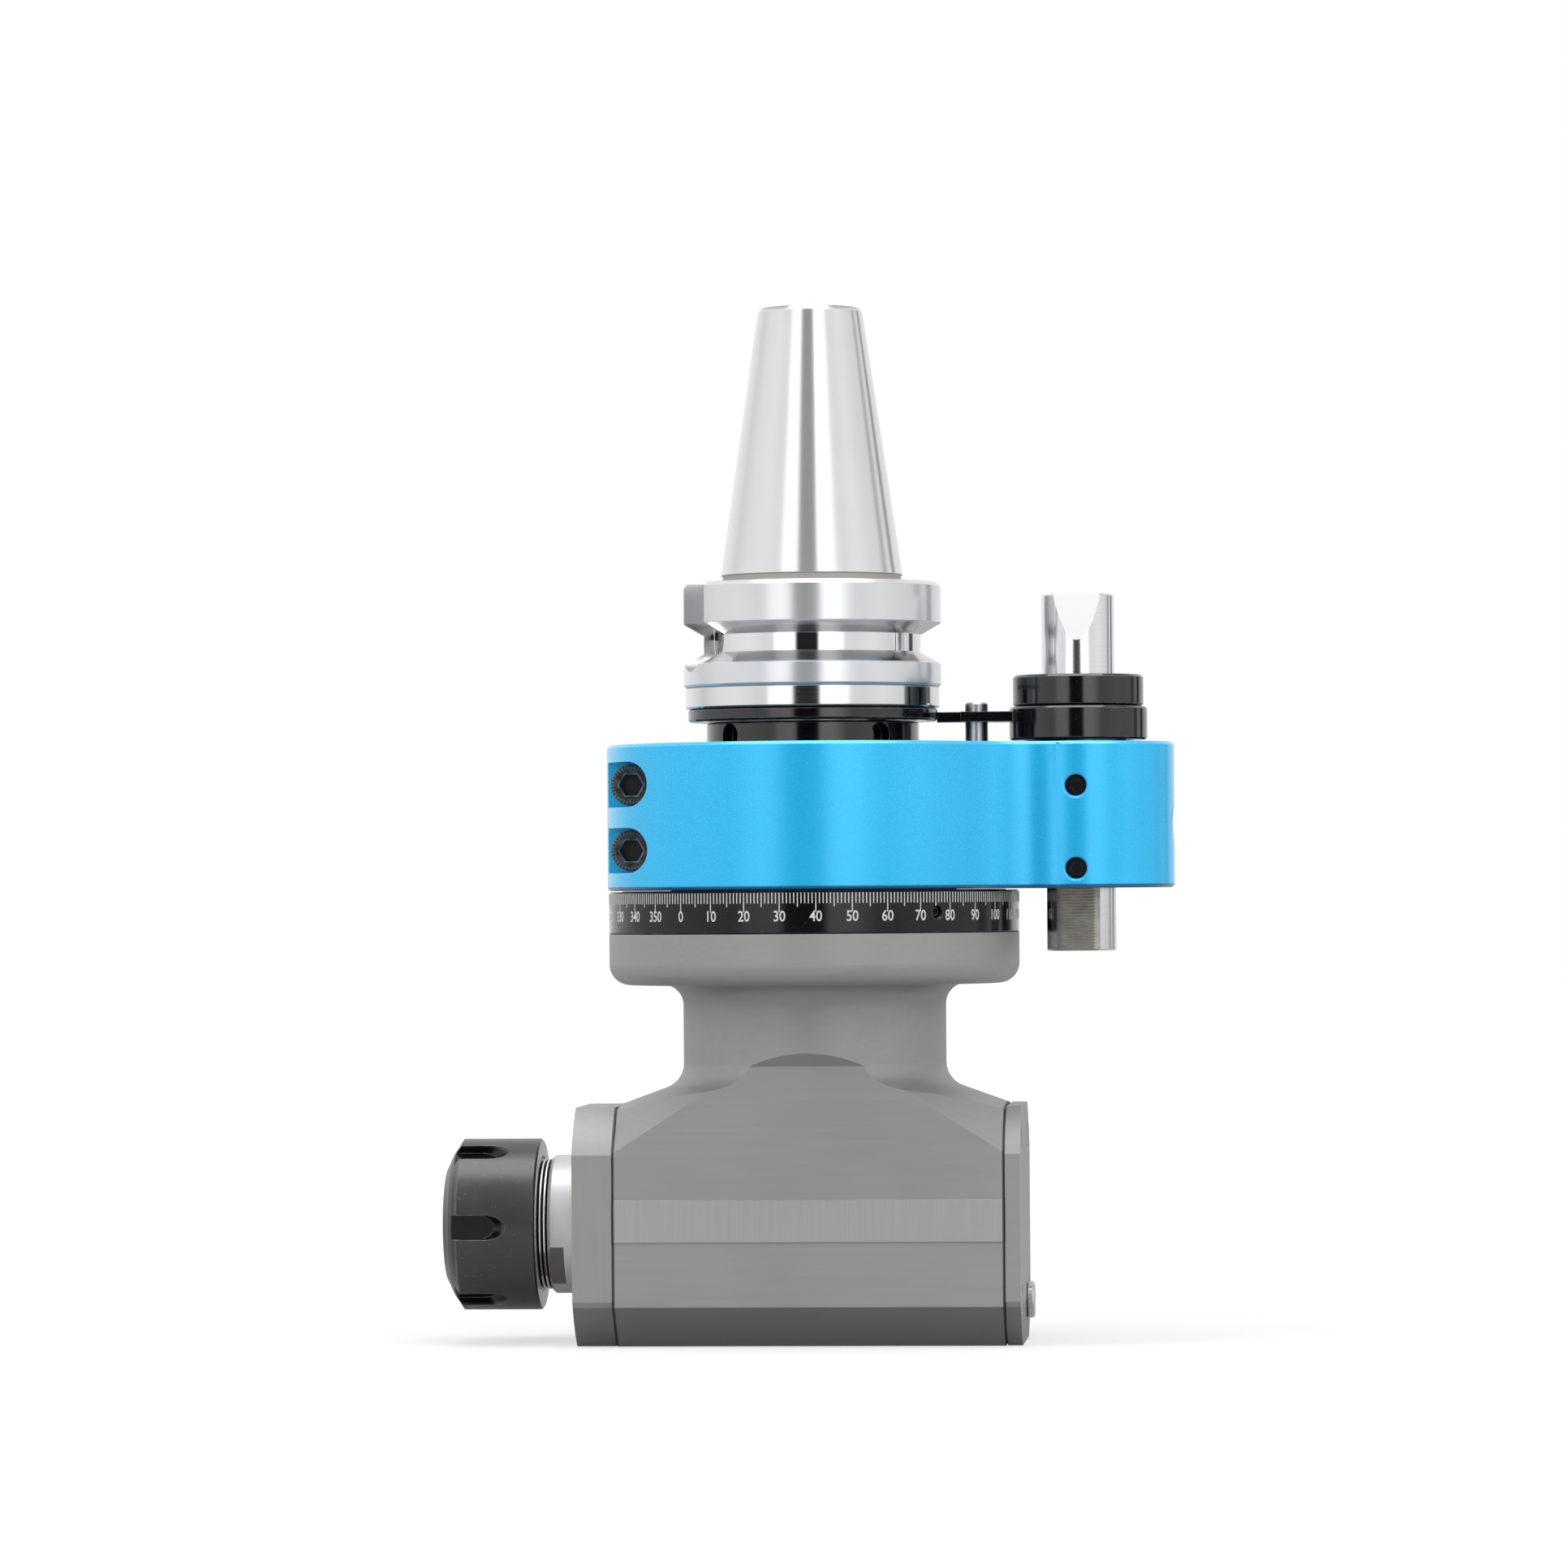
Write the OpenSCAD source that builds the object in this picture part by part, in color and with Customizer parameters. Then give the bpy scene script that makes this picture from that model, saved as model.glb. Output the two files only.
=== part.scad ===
// Right angle milling head with a 7/24 size 40 shank and a collet spindle.
// Origin: on the input axis, at the face that the body stands on. +Z runs along the input axis.
// The output spindle lies along X, its collet nut towards -X.

/* [Body block] */
// Height of the output axis above the resting face
axis_h = 29; // [27:0.5:34]
// Length of the block between the end plate and the rear cover
block_len = 94.4; // [90:0.2:110]
// Size of the 45 degree chamfers along the bottom
bottom_chamfer = 10; // [5:0.5:12]
// Slope of the shoulder from the neck down to the block, in degrees
shoulder_slope = 20; // [15:1:25]
// Height of the raised band along the front and back
band_h = 10.2; // [6:0.2:16]
// How far the band stands out
band_raise = 0.35; // [0.2:0.05:1]
// Height where the mitred corners start at the block's ends, above the output axis
mitre_start = 18.3; // [15:0.1:20]
// Height where the side flats of the neck end, above the resting face
neck_flat_top = 68; // [66:0.5:72]

/* [Neck and flange] */
// Diameter of the neck
neck_d = 64.4; // [62:0.2:68]
// Height of the underside of the round flange
flange_under = 87.6; // [84:0.2:95]
// Thickness of the round flange
flange_h = 12.4; // [10:0.2:16]
// Diameter of the round flange and the degree ring
flange_d = 100.4; // [99:0.2:106]
// Radius of the flange's lower edge and of the fillet under it
flange_round = 5; // [3:0.5:6]
// Radius of the fillet at the neck's foot
foot_round = 6.3; // [4:0.1:8]

/* [End plates] */
// Diameter of the disc that both end plates are cut from
plate_d = 68; // [66:0.5:74]
// Thickness of the output end plate
plate_t = 10; // [8:0.5:14]
// Thickness of the rear cover
cover_t = 4; // [4:0.5:8]
// Distance of the plate screws from the output axis, along Y and Z
plate_screw_offset = 19; // [18.5:0.1:19.5]
// Depth of the seam at each joint face
seam = 0.4; // [0.2:0.1:1]

/* [Degree ring] */
// Height of the degree ring
scale_h = 10.3; // [8:0.1:10.6]
// Wall of the degree ring
scale_wall = 3.2; // [2.5:0.1:4]
// Bearing of the ring's set screw, in degrees from +X
scale_screw_angle = 310; // [300:1:320]

/* [Bearing sleeve] */
// Outer diameter of the sleeve that the torque ring clamps on
sleeve_d = 70; // [69:0.2:71]
// Height of the sleeve's flange above the body flange
sleeve_flange_h = 10.5; // [10.4:0.1:12]
// Diameter of the retaining nut's collar
collar_d = 52; // [50:0.5:54]
// How far the collar stands out of the torque ring
collar_rise = 5.4; // [5:0.1:7]
// Diameter of the collar's pin spanner holes
spanner_hole_d = 6; // [3:0.1:6.4]

/* [Torque ring] */
// Height of the torque ring
torque_h = 35.5; // [34:0.1:40]
// How far the torque ring stands out past the degree ring
torque_overhang = 0.3; // [0:0.1:4]
// Distance of the stop pin from the input axis
pin_offset = 65; // [64:0.5:72]
// Diameter of the boss round the stop pin
boss_d = 46.6; // [44:0.2:50]
// Radius of the hollow between ring and boss
hollow_r = 20; // [15:1:35]
// Width of the clamping slit
slit_w = 2; // [1:0.1:4]
// Depth of the clamp screws' axes behind the torque ring's round face
clamp_inset = 7.2; // [6.8:0.1:7.6]
// Height between the two clamp screws
clamp_spacing = 16; // [14:0.5:18]
// Diameter of the clamp screws' counterbore
clamp_bore_d = 11; // [10.6:0.1:12]
// Edge chamfer of the torque ring
ring_chamfer = 0.7; // [0.3:0.1:1]
// Height between the two set screws of the guide bush
bush_screw_spacing = 20; // [18:0.5:20.5]

/* [Stop pin] */
// Diameter of the stop pin
pin_d = 17.8; // [16:0.2:18]
// Height of the stop pin above the torque ring
pin_rise = 36.1; // [33:0.1:42]
// Length of the stop pin below the torque ring
pin_drop = 15.3; // [12:0.1:20]
// Length of the ramp at the pin's top
ramp_len = 11.3; // [8:0.1:15]
// Depth of the ramp at the pin's top
ramp_depth = 2.15; // [1:0.05:3]
// Height of one rack tooth at the pin's foot
rack_pitch = 0.75; // [0.6:0.05:1.5]
// Depth of the rack's flat
rack_flat = 1.05; // [0.8:0.05:1.5]
// Travel of the stop pin
pin_travel = 5; // [3:0.1:5.1]
// Diameter of the lower collar
low_collar_d = 33.7; // [33:0.1:34]
// Diameter of the upper collar
top_collar_d = 31.9; // [30:0.1:33]
// Height of the upper collar
top_collar_h = 7.7; // [6:0.1:9]
// Thickness of the lock arm
arm_t = 2.5; // [2:0.1:3.2]
// Width of the lock arm
arm_w = 12; // [10:0.5:16]
// Diameter of the guide dowel
dowel_d = 5.6; // [5:0.1:6]

/* [Input shank] */
// Gauge diameter of the 7/24 taper
gauge_d = 44.45; // [44.4:0.05:44.5]
// Length of the taper above the gauge line
taper_len = 65.4; // [60:0.1:68]
// Diameter of the gripper flange
grip_d = 63; // [62:0.5:66]
// Distance from the gauge line to the flange's far face
grip_len = 27.4; // [26:0.1:28]
// Distance from the gauge line to the flange's near face
grip_start = 2; // [1.5:0.1:3]
// Distance from the gauge line to the middle of the gripper groove
groove_mid = 16.9; // [16.4:0.1:17.2]
// Width of the groove's floor
groove_floor_w = 4.4; // [4.2:0.1:5]
// Diameter of the groove's floor
groove_floor_d = 53.2; // [52:0.1:54]
// Width of the two driving keyways
keyway_w = 16.1; // [15.9:0.1:16.3]
// Distance of the keyway's floor from the input axis
keyway_floor = 22.6; // [22:0.1:24]
// Length of the keyways
keyway_len = 21.7; // [20:0.1:23]
// Bearing of the first keyway, in degrees from +X
keyway_angle = 22.8; // [0:0.1:90]
// Height of the black lock ring
lock_ring_h = 3.2; // [3:0.1:4]
// Diameter of the black lock ring
lock_ring_d = 61; // [60:0.5:62]
// Height of the steel ring under the gripper flange
flange_ring_h = 5.2; // [4:0.1:7]
// Diameter of the steel ring under the gripper flange
flange_ring_d = 62.2; // [61:0.1:64]
// Tapping diameter of the pull stud thread
stud_hole_d = 14; // [13.8:0.1:14.2]

/* [Bevel gears] */
// Number of teeth of each bevel gear
gear_teeth = 20; // [16:2:24]
// Pitch diameter of each bevel gear at its outer end
gear_pitch_d = 30; // [28:0.5:32]
// Length of the teeth along the pitch cone
tooth_len = 5.5; // [5:0.1:6.5]
// Backlash between the teeth
backlash = 0.3; // [0.25:0.01:0.4]

/* [Output spindle] */
// Diameter of the spindle's collar in the end plate
nose_d = 34; // [33.5:0.1:34.4]
// Length of the nose between the end plate and its thread
nose_len = 7.4; // [6:0.1:9]
// Outer diameter of the nose thread
thread_d = 32; // [31:0.1:32]
// Length of the nose thread
thread_len = 19; // [16:0.5:19.5]
// Distance across the spanner flats
spanner_flats = 32; // [30:0.2:33]
// Bearing seat at the front
front_seat_d = 30; // [29:0.5:30]
// Bearing seat at the rear
rear_seat_d = 17; // [16:0.5:18]

/* [Collet nut] */
// Outer diameter of the collet nut
nut_d = 42; // [41:0.5:45]
// Length of the collet nut
nut_len = 23.2; // [21.6:0.2:25]
// Gap between the nut and the spindle's collar
nut_gap = 2.6; // [2:0.1:4]
// Number of spanner slots
nut_slots = 6; // [4:1:8]
// Width of the spanner slots
slot_w = 6; // [5:0.1:7]
// Length of the spanner slots
slot_len = 16.1; // [14:0.1:18]
// Length of the slots' floor, short of their sloping ends
slot_floor_len = 13.2; // [12:0.1:13.6]
// Depth of the spanner slots
slot_depth = 2.4; // [1.5:0.1:2.6]
// Bore of the collet
collet_bore_d = 12; // [6:0.5:16]
// Length of the collet inside the spindle
collet_seat_len = 27; // [24:0.5:29]
// How far the collet stands out of the spindle
collet_rise = 5.2; // [5:0.1:5.5]

/* [Hidden] */
$fn = 96;

// Clearances shared by the pieces
fit = 0.04;
run_gap = 0.3;
seat = 0.02;
ring_gap = 0.1;
far = 200;
eps = 0.01;

// Levels along the input axis
lock_ring_gap = 0.2;
flange_top = flange_under + flange_h;
torque_z = flange_top + sleeve_flange_h + ring_gap;
torque_top = torque_z + torque_h;
collar_top = torque_top + collar_rise;
lock_ring_z = collar_top + lock_ring_gap;
flange_ring_z = lock_ring_z + lock_ring_h + seat;
grip_z = flange_ring_z + flange_ring_h + seat;
gauge_z = grip_z + grip_len;
shank_top = gauge_z + taper_len;
neck_r = neck_d / 2;
flange_r = flange_d / 2;
sleeve_r = sleeve_d / 2;
torque_d = flange_d + 2 * torque_overhang;
sleeve_top = torque_top - 0.5;
half_w = axis_h;
half_len = block_len / 2;
grease_y = 8;
grease_z = 9.7;
mitre_slope = 0.634;

// Foot of the neck: centre of the fillet and where it meets the shoulder
shoulder_r = neck_r + foot_round * (1 - sin(shoulder_slope));
shoulder_rise = 33.5;
shoulder_z = axis_h + shoulder_rise;
foot_z = shoulder_z + foot_round * cos(shoulder_slope);

// Bearings: bore, outside diameter and width
upper_bore = 30;
upper_outer_d = 62;
upper_width = 16;
upper_rise = 18;
lower_bore = 20;
lower_outer_d = 42;
lower_width = 12;
lower_rise = 28;
front_outer_d = 47;
front_width = 18;
rear_outer_d = 35;
rear_width = 10;
upper_bearing = [upper_bore, upper_outer_d, upper_width];
lower_bearing = [lower_bore, lower_outer_d, lower_width];
front_bearing = [front_seat_d, front_outer_d, front_width];
rear_bearing = [rear_seat_d, rear_outer_d, rear_width];
upper_bearing_z = flange_top + upper_rise;
lower_bearing_z = axis_h + lower_rise;
front_bearing_x = -half_len + 0.3;
rear_bearing_x = 30;
chamber_r = 19.5;

// Gears
gear_module = gear_pitch_d / gear_teeth;
cone_len = gear_pitch_d / 2 / sin(45);
virtual_r = gear_pitch_d / 2 / cos(45);
base_r = virtual_r * cos(20);
addendum = 0.85 * gear_module;
root_drop = 1.15 * gear_module;
gear_hub_r = 12.6;
gear_front = (cone_len - tooth_len) * (1 + root_drop / cone_len) * cos(45);
input_bore_r = 7;
output_bore_r = 8.6;

input_end_z = axis_h + gear_front + 0.5;
washer_t = 1.2;
gear_washer_r = 8.6;
output_mid_r = 6.8;
output_shoulder = -front_bearing_x - front_bearing[2];
shaft_r = 12.5;

// Bolts of the sleeve: they lie in the middle of its flange and fill it up to a margin
sleeve_rim = flange_r - scale_wall - ring_gap;
sleeve_bolt_r = (sleeve_r + sleeve_rim) / 2;
bolt_margin = 1.75;
bolt_head_d = sleeve_rim - sleeve_r - 2 * bolt_margin;
bolt_d = bolt_head_d * 0.6;
bolt_head_h = 5;
bolt_len = 13;
bolt_sink = 5.5;

// Torque ring: the clamp screws' heads keep clear of the sleeve
clamp_offset = torque_d / 2 - clamp_inset;
clamp_clear = 0.8;
clamp_seat_min = 10;
clamp_seat_y = max(clamp_seat_min, sqrt(max(0, pow(sleeve_r + clamp_clear, 2)
    - pow(clamp_offset - clamp_bore_d / 2, 2))));
clamp_hole_end = 18;
m6_r = 3;
m6_tap_r = 2.6;
m6_head_d = 10;
m6_socket = 5;
bush_d = 26;
bush_screw_sink = 4.6;
bush_top = torque_top - 7.3;
bush_z = torque_z + 0.3;
collar_bore_d = low_collar_d + 0.7;
collar_bore_z = bush_top;
spring_z = bush_top + seat;
low_collar_z = torque_top + 0.6;
low_collar_h = 8.1;
arm_z = torque_top + pin_travel + 0.15;
tongue_gap = 0.15;
arm_tip = lock_ring_d / 2 + tongue_gap;
arm_tongue_w = 5;
lock_notch = 2.6;
pocket_d = 26.6;
spring_top = low_collar_z + low_collar_h - 2 - seat;
dowel_wall = 2.35;
dowel_x = sleeve_r + dowel_d / 2 + dowel_wall;
dowel_depth = 8;
dowel_rise = 9.9;

// Stop pin: its guided part is a little thicker than its tip, with a fine groove between them
guide_step = 0.1;
guide_r = pin_d / 2 + guide_step;
tip_groove_w = 0.5;
tip_groove_depth = 0.4;
tip_z = low_collar_z + low_collar_h + seat + top_collar_h + 0.15;
rack_len = 20;
rack_side_flat = 1.25;

// Seats of the shaft seals and the spindle's neck
input_neck_r = 20;
seal_r = 25;
output_seal_r = 21.5;

// Nose and collet
plate_x = -half_len - plate_t;
nut_back_x = plate_x - nose_len - nut_gap;
nut_front_x = nut_back_x - nut_len;
nose_tip_x = plate_x - nose_len - thread_len - 0.5;
taper_half = 8;
thread_pitch = 1.05;
flats_turn = 127;
collet_depth = 32;
seal_h = 7;
nut_lip_h = 4;
collet_mouth_r = 12.8;
nut_thread_r = thread_d / 2 + fit;
collet_cone_r = collet_mouth_r - 0.3;

// Turns a piece built along Z so that it lies along -X on the output axis
module on_output_axis() {
    translate([0, 0, axis_h])
        rotate([0, -90, 0])
            children();
}

// Straight cylinder or tube between two places on the output axis
module output_tube(x_low, x_high, r_out, r_in = 0) {
    translate([x_low, 0, axis_h])
        rotate([0, 90, 0])
            tube(x_high - x_low, r_out, r_in);
}

module tube(h, r_out, r_in = 0) {
    difference() {
        cylinder(h = h, r = r_out);
        if (r_in > 0)
            translate([0, 0, -eps])
                cylinder(h = h + 2 * eps, r = r_in);
    }
}

// Disc with both edges chamfered
module chamfered_disc(h, r, c) {
    rotate_extrude()
        polygon([[0, 0], [r - c, 0], [r, c], [r, h - c], [r - c, h], [0, h]]);
}

// Four places in a square round the output axis
module at_square(offset) {
    for (y = [-1, 1], z = [-1, 1])
        translate([0, y * offset, axis_h + z * offset])
            children();
}

// Socket head screw along Z, its head's seat at zero and its head upwards
module socket_screw(d, head_d, head_h, shank_len, socket) {
    difference() {
        union() {
            translate([0, 0, -shank_len])
                cylinder(h = shank_len, d = d);
            chamfered_disc(head_h, head_d / 2, 0.4);
        }
        translate([0, 0, head_h * 0.45])
            cylinder(h = head_h, d = socket / cos(30), $fn = 6);
        translate([0, 0, head_h - socket * 0.09])
            cylinder(h = socket * 0.18, d1 = socket, d2 = socket * 1.36);
    }
}

// Headless screw along Z, its socket end at zero and its body downwards
module set_screw(d, length, socket) {
    difference() {
        translate([0, 0, -length])
            chamfered_disc(length, d / 2, 0.4);
        translate([0, 0, -length * 0.4])
            cylinder(h = length, d = socket / cos(30), $fn = 6);
    }
}

// Ring of a ball bearing along Z, with its ball track on one face
module outer_race(size) {
    mid_r = (size[0] + size[1]) / 4;
    ball_r = (size[1] - size[0]) / 8.4;
    difference() {
        tube(size[2], size[1] / 2 - fit, mid_r + ball_r * 0.62);
        ball_track(size, mid_r, ball_r + run_gap);
    }
}

module inner_race(size) {
    mid_r = (size[0] + size[1]) / 4;
    ball_r = (size[1] - size[0]) / 8.4;
    balls = floor(360 / (2 * asin(ball_r * 1.25 / mid_r)));
    difference() {
        tube(size[2], mid_r - ball_r * 0.62, size[0] / 2 + fit);
        ball_track(size, mid_r, ball_r + fit);
    }
    for (i = [0:balls - 1])
        rotate(i * 360 / balls)
            translate([mid_r, 0, size[2] / 2])
                sphere(r = ball_r, $fn = 24);
}

module ball_track(size, mid_r, track_r) {
    translate([0, 0, size[2] / 2])
        rotate_extrude()
            translate([mid_r, 0])
                circle(r = track_r, $fn = 32);
}

// Body

// Half section of the flange, the neck and the shoulder, outwards from the input axis
module neck_section() {
    round_x = flange_r - flange_round;
    square([neck_r + max(flange_round, foot_round), flange_under + eps]);
    translate([0, flange_under])
        square([round_x, flange_h]);
    translate([0, flange_under + flange_round])
        square([flange_r, flange_h - flange_round]);
    translate([round_x, flange_under + flange_round])
        circle(r = flange_round);
}

module neck_waste() {
    fillet_x = neck_r + flange_round;
    foot_x = neck_r + foot_round;
    difference() {
        translate([neck_r, shoulder_z - 2])
            square([far, flange_under - shoulder_z + 2]);
        difference() {
            translate([neck_r - eps, flange_under - flange_round])
                square([flange_round + eps, flange_round + eps]);
            translate([fillet_x, flange_under - flange_round])
                circle(r = flange_round);
        }
        difference() {
            polygon([[neck_r - eps, foot_z], [foot_x, foot_z], [shoulder_r, shoulder_z],
                [shoulder_r, shoulder_z - 2 - eps], [neck_r - eps, shoulder_z - 2 - eps]]);
            translate([foot_x, foot_z])
                circle(r = foot_round);
        }
        polygon([[neck_r - eps, shoulder_z - 2 - eps], [neck_r - eps, shoulder_z],
            [shoulder_r, shoulder_z],
            [shoulder_r + 2 / tan(shoulder_slope), shoulder_z - 2 - eps]]);
    }
    drop = (far - shoulder_r) * tan(shoulder_slope);
    polygon([[shoulder_r, shoulder_z], [far, shoulder_z - drop], [far, shoulder_z + 1],
        [shoulder_r, shoulder_z + 1]]);
}

// The block with its bottom chamfers, from end to end
module block_prism() {
    w = half_w;
    rotate([90, 0, 90])
        translate([0, 0, -half_len])
            linear_extrude(block_len)
                polygon([[-w + bottom_chamfer, 0], [w - bottom_chamfer, 0], [w, bottom_chamfer],
                    [w, shoulder_z], [-w, shoulder_z], [-w, bottom_chamfer]]);
}

// Waste above the oblique plane at one upper corner of the block
module mitre_waste() {
    tilt = acos(1 / norm([mitre_slope, 1, 1]));
    turn = atan2(1, mitre_slope);
    intersection() {
        translate([half_len, half_w, axis_h + mitre_start])
            rotate([0, tilt, turn])
                translate([-far / 2, -far / 2, 0])
                    cube([far, far, far / 2]);
        cube([far, far, neck_flat_top]);
    }
}

module housing() {
    color([0.47, 0.47, 0.46])
    difference() {
        union() {
            intersection() {
                difference() {
                    rotate_extrude()
                        neck_section();
                    rotate_extrude()
                        neck_waste();
                }
                housing_limits();
            }
            intersection() {
                block_prism();
                shoulder_cone();
            }
            for (side = [-1, 1])
                translate([-half_len, side > 0 ? half_w - 1 : -half_w - band_raise,
                    axis_h + 1.75 - band_h / 2])
                    cube([block_len, 1 + band_raise, band_h]);
        }
        for (sx = [0, 1], sy = [0, 1])
            mirror([sx, 0, 0])
                mirror([0, sy, 0])
                    mitre_waste();
        housing_bores();
    }
}

// The neck keeps inside the block's width up to the ledge of its side flats
module housing_limits() {
    rise = far;
    rotate([90, 0, 90])
        translate([0, 0, -far])
            linear_extrude(2 * far)
                polygon([[-half_w, shoulder_z - 8], [half_w, shoulder_z - 8],
                    [half_w, neck_flat_top], [half_w + rise, neck_flat_top + rise],
                    [-half_w - rise, neck_flat_top + rise], [-half_w, neck_flat_top]]);
}

module shoulder_cone() {
    reach = 70;
    rotate_extrude()
        polygon([[0, 0], [reach, 0],
            [reach, shoulder_z - (reach - shoulder_r) * tan(shoulder_slope)],
            [shoulder_r, shoulder_z], [0, shoulder_z]]);
}

module housing_bores() {
    translate([0, 0, axis_h])
        cylinder(h = lower_bearing_z - axis_h + eps, r = chamber_r);
    translate([0, 0, lower_bearing_z])
        cylinder(h = lower_bearing[2] + eps, r = lower_bearing[1] / 2);
    translate([0, 0, lower_bearing_z + lower_bearing[2]])
        cylinder(h = far, r = lower_bearing[1] / 2 + 1.5);
    output_tube(-half_len - eps, front_bearing_x + front_bearing[2], front_bearing[1] / 2);
    output_tube(front_bearing_x, rear_bearing_x, chamber_r - 2);
    output_tube(front_bearing_x, 0, chamber_r - 0.5);
    output_tube(rear_bearing_x - eps, half_len + eps, rear_bearing[1] / 2);
    for (side = [-1, 1])
        at_square(plate_screw_offset)
            translate([side * half_len, 0, 0])
                rotate([0, side * 90, 0])
                    translate([0, 0, -12])
                        cylinder(h = 12 + eps, r = 2.6);
    sleeve_bolt_places()
        translate([0, 0, flange_top - bolt_len + sleeve_flange_h - bolt_sink - 1])
            cylinder(h = far, d = bolt_d + 0.2);
}

// End plates: the block's square trimmed by a round disc
module plate_blank(x_low, x_high, shrink) {
    intersection() {
        translate([x_low, -half_w + shrink, shrink])
            cube([x_high - x_low, 2 * (half_w - shrink), 2 * (axis_h - shrink)]);
        output_tube(x_low - eps, x_high + eps, plate_d / 2 - shrink);
    }
}

module front_plate() {
    color([0.49, 0.49, 0.48])
    difference() {
        union() {
            plate_blank(plate_x, -half_len - seam, 0);
            plate_blank(plate_x + 1, -half_len, seam);
        }
        output_tube(plate_x - eps, -half_len + eps, nose_d / 2 + run_gap);
        output_tube(-half_len - 7.1, -half_len + eps, output_seal_r);
        at_square(plate_screw_offset) {
            translate([plate_x - eps, 0, 0])
                rotate([0, 90, 0])
                    cylinder(h = plate_t + 2 * eps, r = 2.75);
            translate([plate_x - eps, 0, 0])
                rotate([0, 90, 0])
                    cylinder(h = 5.5, r = 4.6);
        }
    }
}

module rear_cover() {
    color([0.51, 0.51, 0.50])
    difference() {
        union() {
            plate_blank(half_len + seam, half_len + cover_t, 0);
            plate_blank(half_len, half_len + cover_t - 1, seam);
        }
        at_square(plate_screw_offset) {
            translate([half_len - eps, 0, 0])
                rotate([0, 90, 0])
                    cylinder(h = cover_t + 2 * eps, r = 2.75);
            translate([half_len + cover_t - 2.9, 0, 0])
                rotate([0, 90, 0])
                    cylinder(h = 3, r1 = 2.75, r2 = 5.1);
        }
        translate([half_len - eps, grease_y, grease_z])
            rotate([0, 90, 0])
                cylinder(h = cover_t + 2 * eps, r = 2.6);
    }
}

module plate_screws() {
    color([0.12, 0.12, 0.13])
    at_square(plate_screw_offset)
        translate([plate_x + 5.5 - seat - eps, 0, 0])
            rotate([0, -90, 0])
                socket_screw(5, 8.5, 5, 15, 4);
}

module cover_screws() {
    color([0.55, 0.55, 0.56])
    at_square(plate_screw_offset)
        translate([half_len + cover_t - 0.2, 0, 0])
            rotate([0, 90, 0])
                difference() {
                    union() {
                        translate([0, 0, -2.4])
                            cylinder(h = 2.4, r1 = 2.5, r2 = 4.7);
                        translate([0, 0, -13])
                            cylinder(h = 13 - 1, r = 2.5);
                    }
                    translate([0, 0, -1.8])
                        cylinder(h = 3, d = 3 / cos(30), $fn = 6);
                }
}

module grease_plug() {
    color([0.6, 0.6, 0.61])
    translate([half_len + cover_t + seat, grease_y, grease_z])
        rotate([0, 90, 0])
            socket_screw(5.1, 9, 1.9, cover_t, 3);
}

// Degree ring and sleeve

module scale_ring() {
    color([0.07, 0.07, 0.08])
    difference() {
        translate([0, 0, flange_top + seat])
            rotate_extrude()
                polygon([[flange_r - scale_wall, 0.3], [flange_r - scale_wall, scale_h],
                    [flange_r - 0.4, scale_h], [flange_r, scale_h - 0.4], [flange_r, 0.3],
                    [flange_r - 0.3, 0], [flange_r - scale_wall + 0.3, 0]]);
        scale_screw_place() {
            translate([0, 0, -6])
                cylinder(h = 7, r = 1.45);
            translate([0, 0, -0.5])
                cylinder(h = 1, r1 = 1.3, r2 = 2.3);
        }
    }
}

module scale_screw_place() {
    rotate(scale_screw_angle)
        translate([flange_r, 0, flange_top + scale_h / 2])
            rotate([0, 90, 0])
                children();
}

module scale_screw() {
    color([0.1, 0.1, 0.1])
    scale_screw_place()
        translate([0, 0, -1])
            set_screw(2.8, 2.2, 1.5);
}

module sleeve_bolt_places() {
    for (i = [0:5])
        rotate(i * 60 + 30)
            translate([sleeve_bolt_r, 0, 0])
                children();
}

module input_sleeve() {
    inner_r = upper_bearing[1] / 2;
    color([0.6, 0.6, 0.61])
    difference() {
        union() {
            translate([0, 0, flange_top])
                cylinder(h = sleeve_flange_h, r = sleeve_rim);
            translate([0, 0, flange_top])
                cylinder(h = sleeve_top - flange_top, r = sleeve_r);
        }
        translate([0, 0, flange_top - eps])
            cylinder(h = far, r = inner_r - 4);
        translate([0, 0, upper_bearing_z])
            cylinder(h = far, r = inner_r);
        sleeve_bolt_places() {
            translate([0, 0, flange_top - eps])
                cylinder(h = sleeve_flange_h + 1, d = bolt_d + 0.5);
            translate([0, 0, flange_top + sleeve_flange_h - bolt_sink])
                cylinder(h = bolt_sink + 1, d = bolt_head_d + 0.6);
        }
    }
}

module sleeve_bolts() {
    color([0.12, 0.12, 0.13])
    sleeve_bolt_places()
        translate([0, 0, flange_top + sleeve_flange_h - bolt_sink + seat])
            socket_screw(bolt_d, bolt_head_d, bolt_head_h, bolt_len, bolt_head_d / 2);
}

module bearing_nut() {
    foot_z = upper_bearing_z + upper_bearing[2] + seat;
    inner_r = upper_bearing[1] / 2 - 0.15;
    color([0.08, 0.08, 0.09])
    difference() {
        union() {
            translate([0, 0, foot_z])
                cylinder(h = sleeve_top - foot_z, r = inner_r);
            translate([0, 0, foot_z])
                chamfered_disc(collar_top - foot_z, collar_d / 2, 0.4);
        }
        translate([0, 0, foot_z - eps])
            cylinder(h = far, r = input_neck_r + run_gap);
        translate([0, 0, foot_z - eps])
            cylinder(h = seal_h + 1, r = seal_r);
        for (i = [0:3])
            rotate(43 + i * 90)
                translate([0, 0, collar_top - spanner_hole_d / 2 - 0.4])
                    rotate([0, 90, 0])
                        translate([0, 0, collar_d / 2 - 3.2])
                            cylinder(h = 10, d = spanner_hole_d);
    }
}

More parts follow.
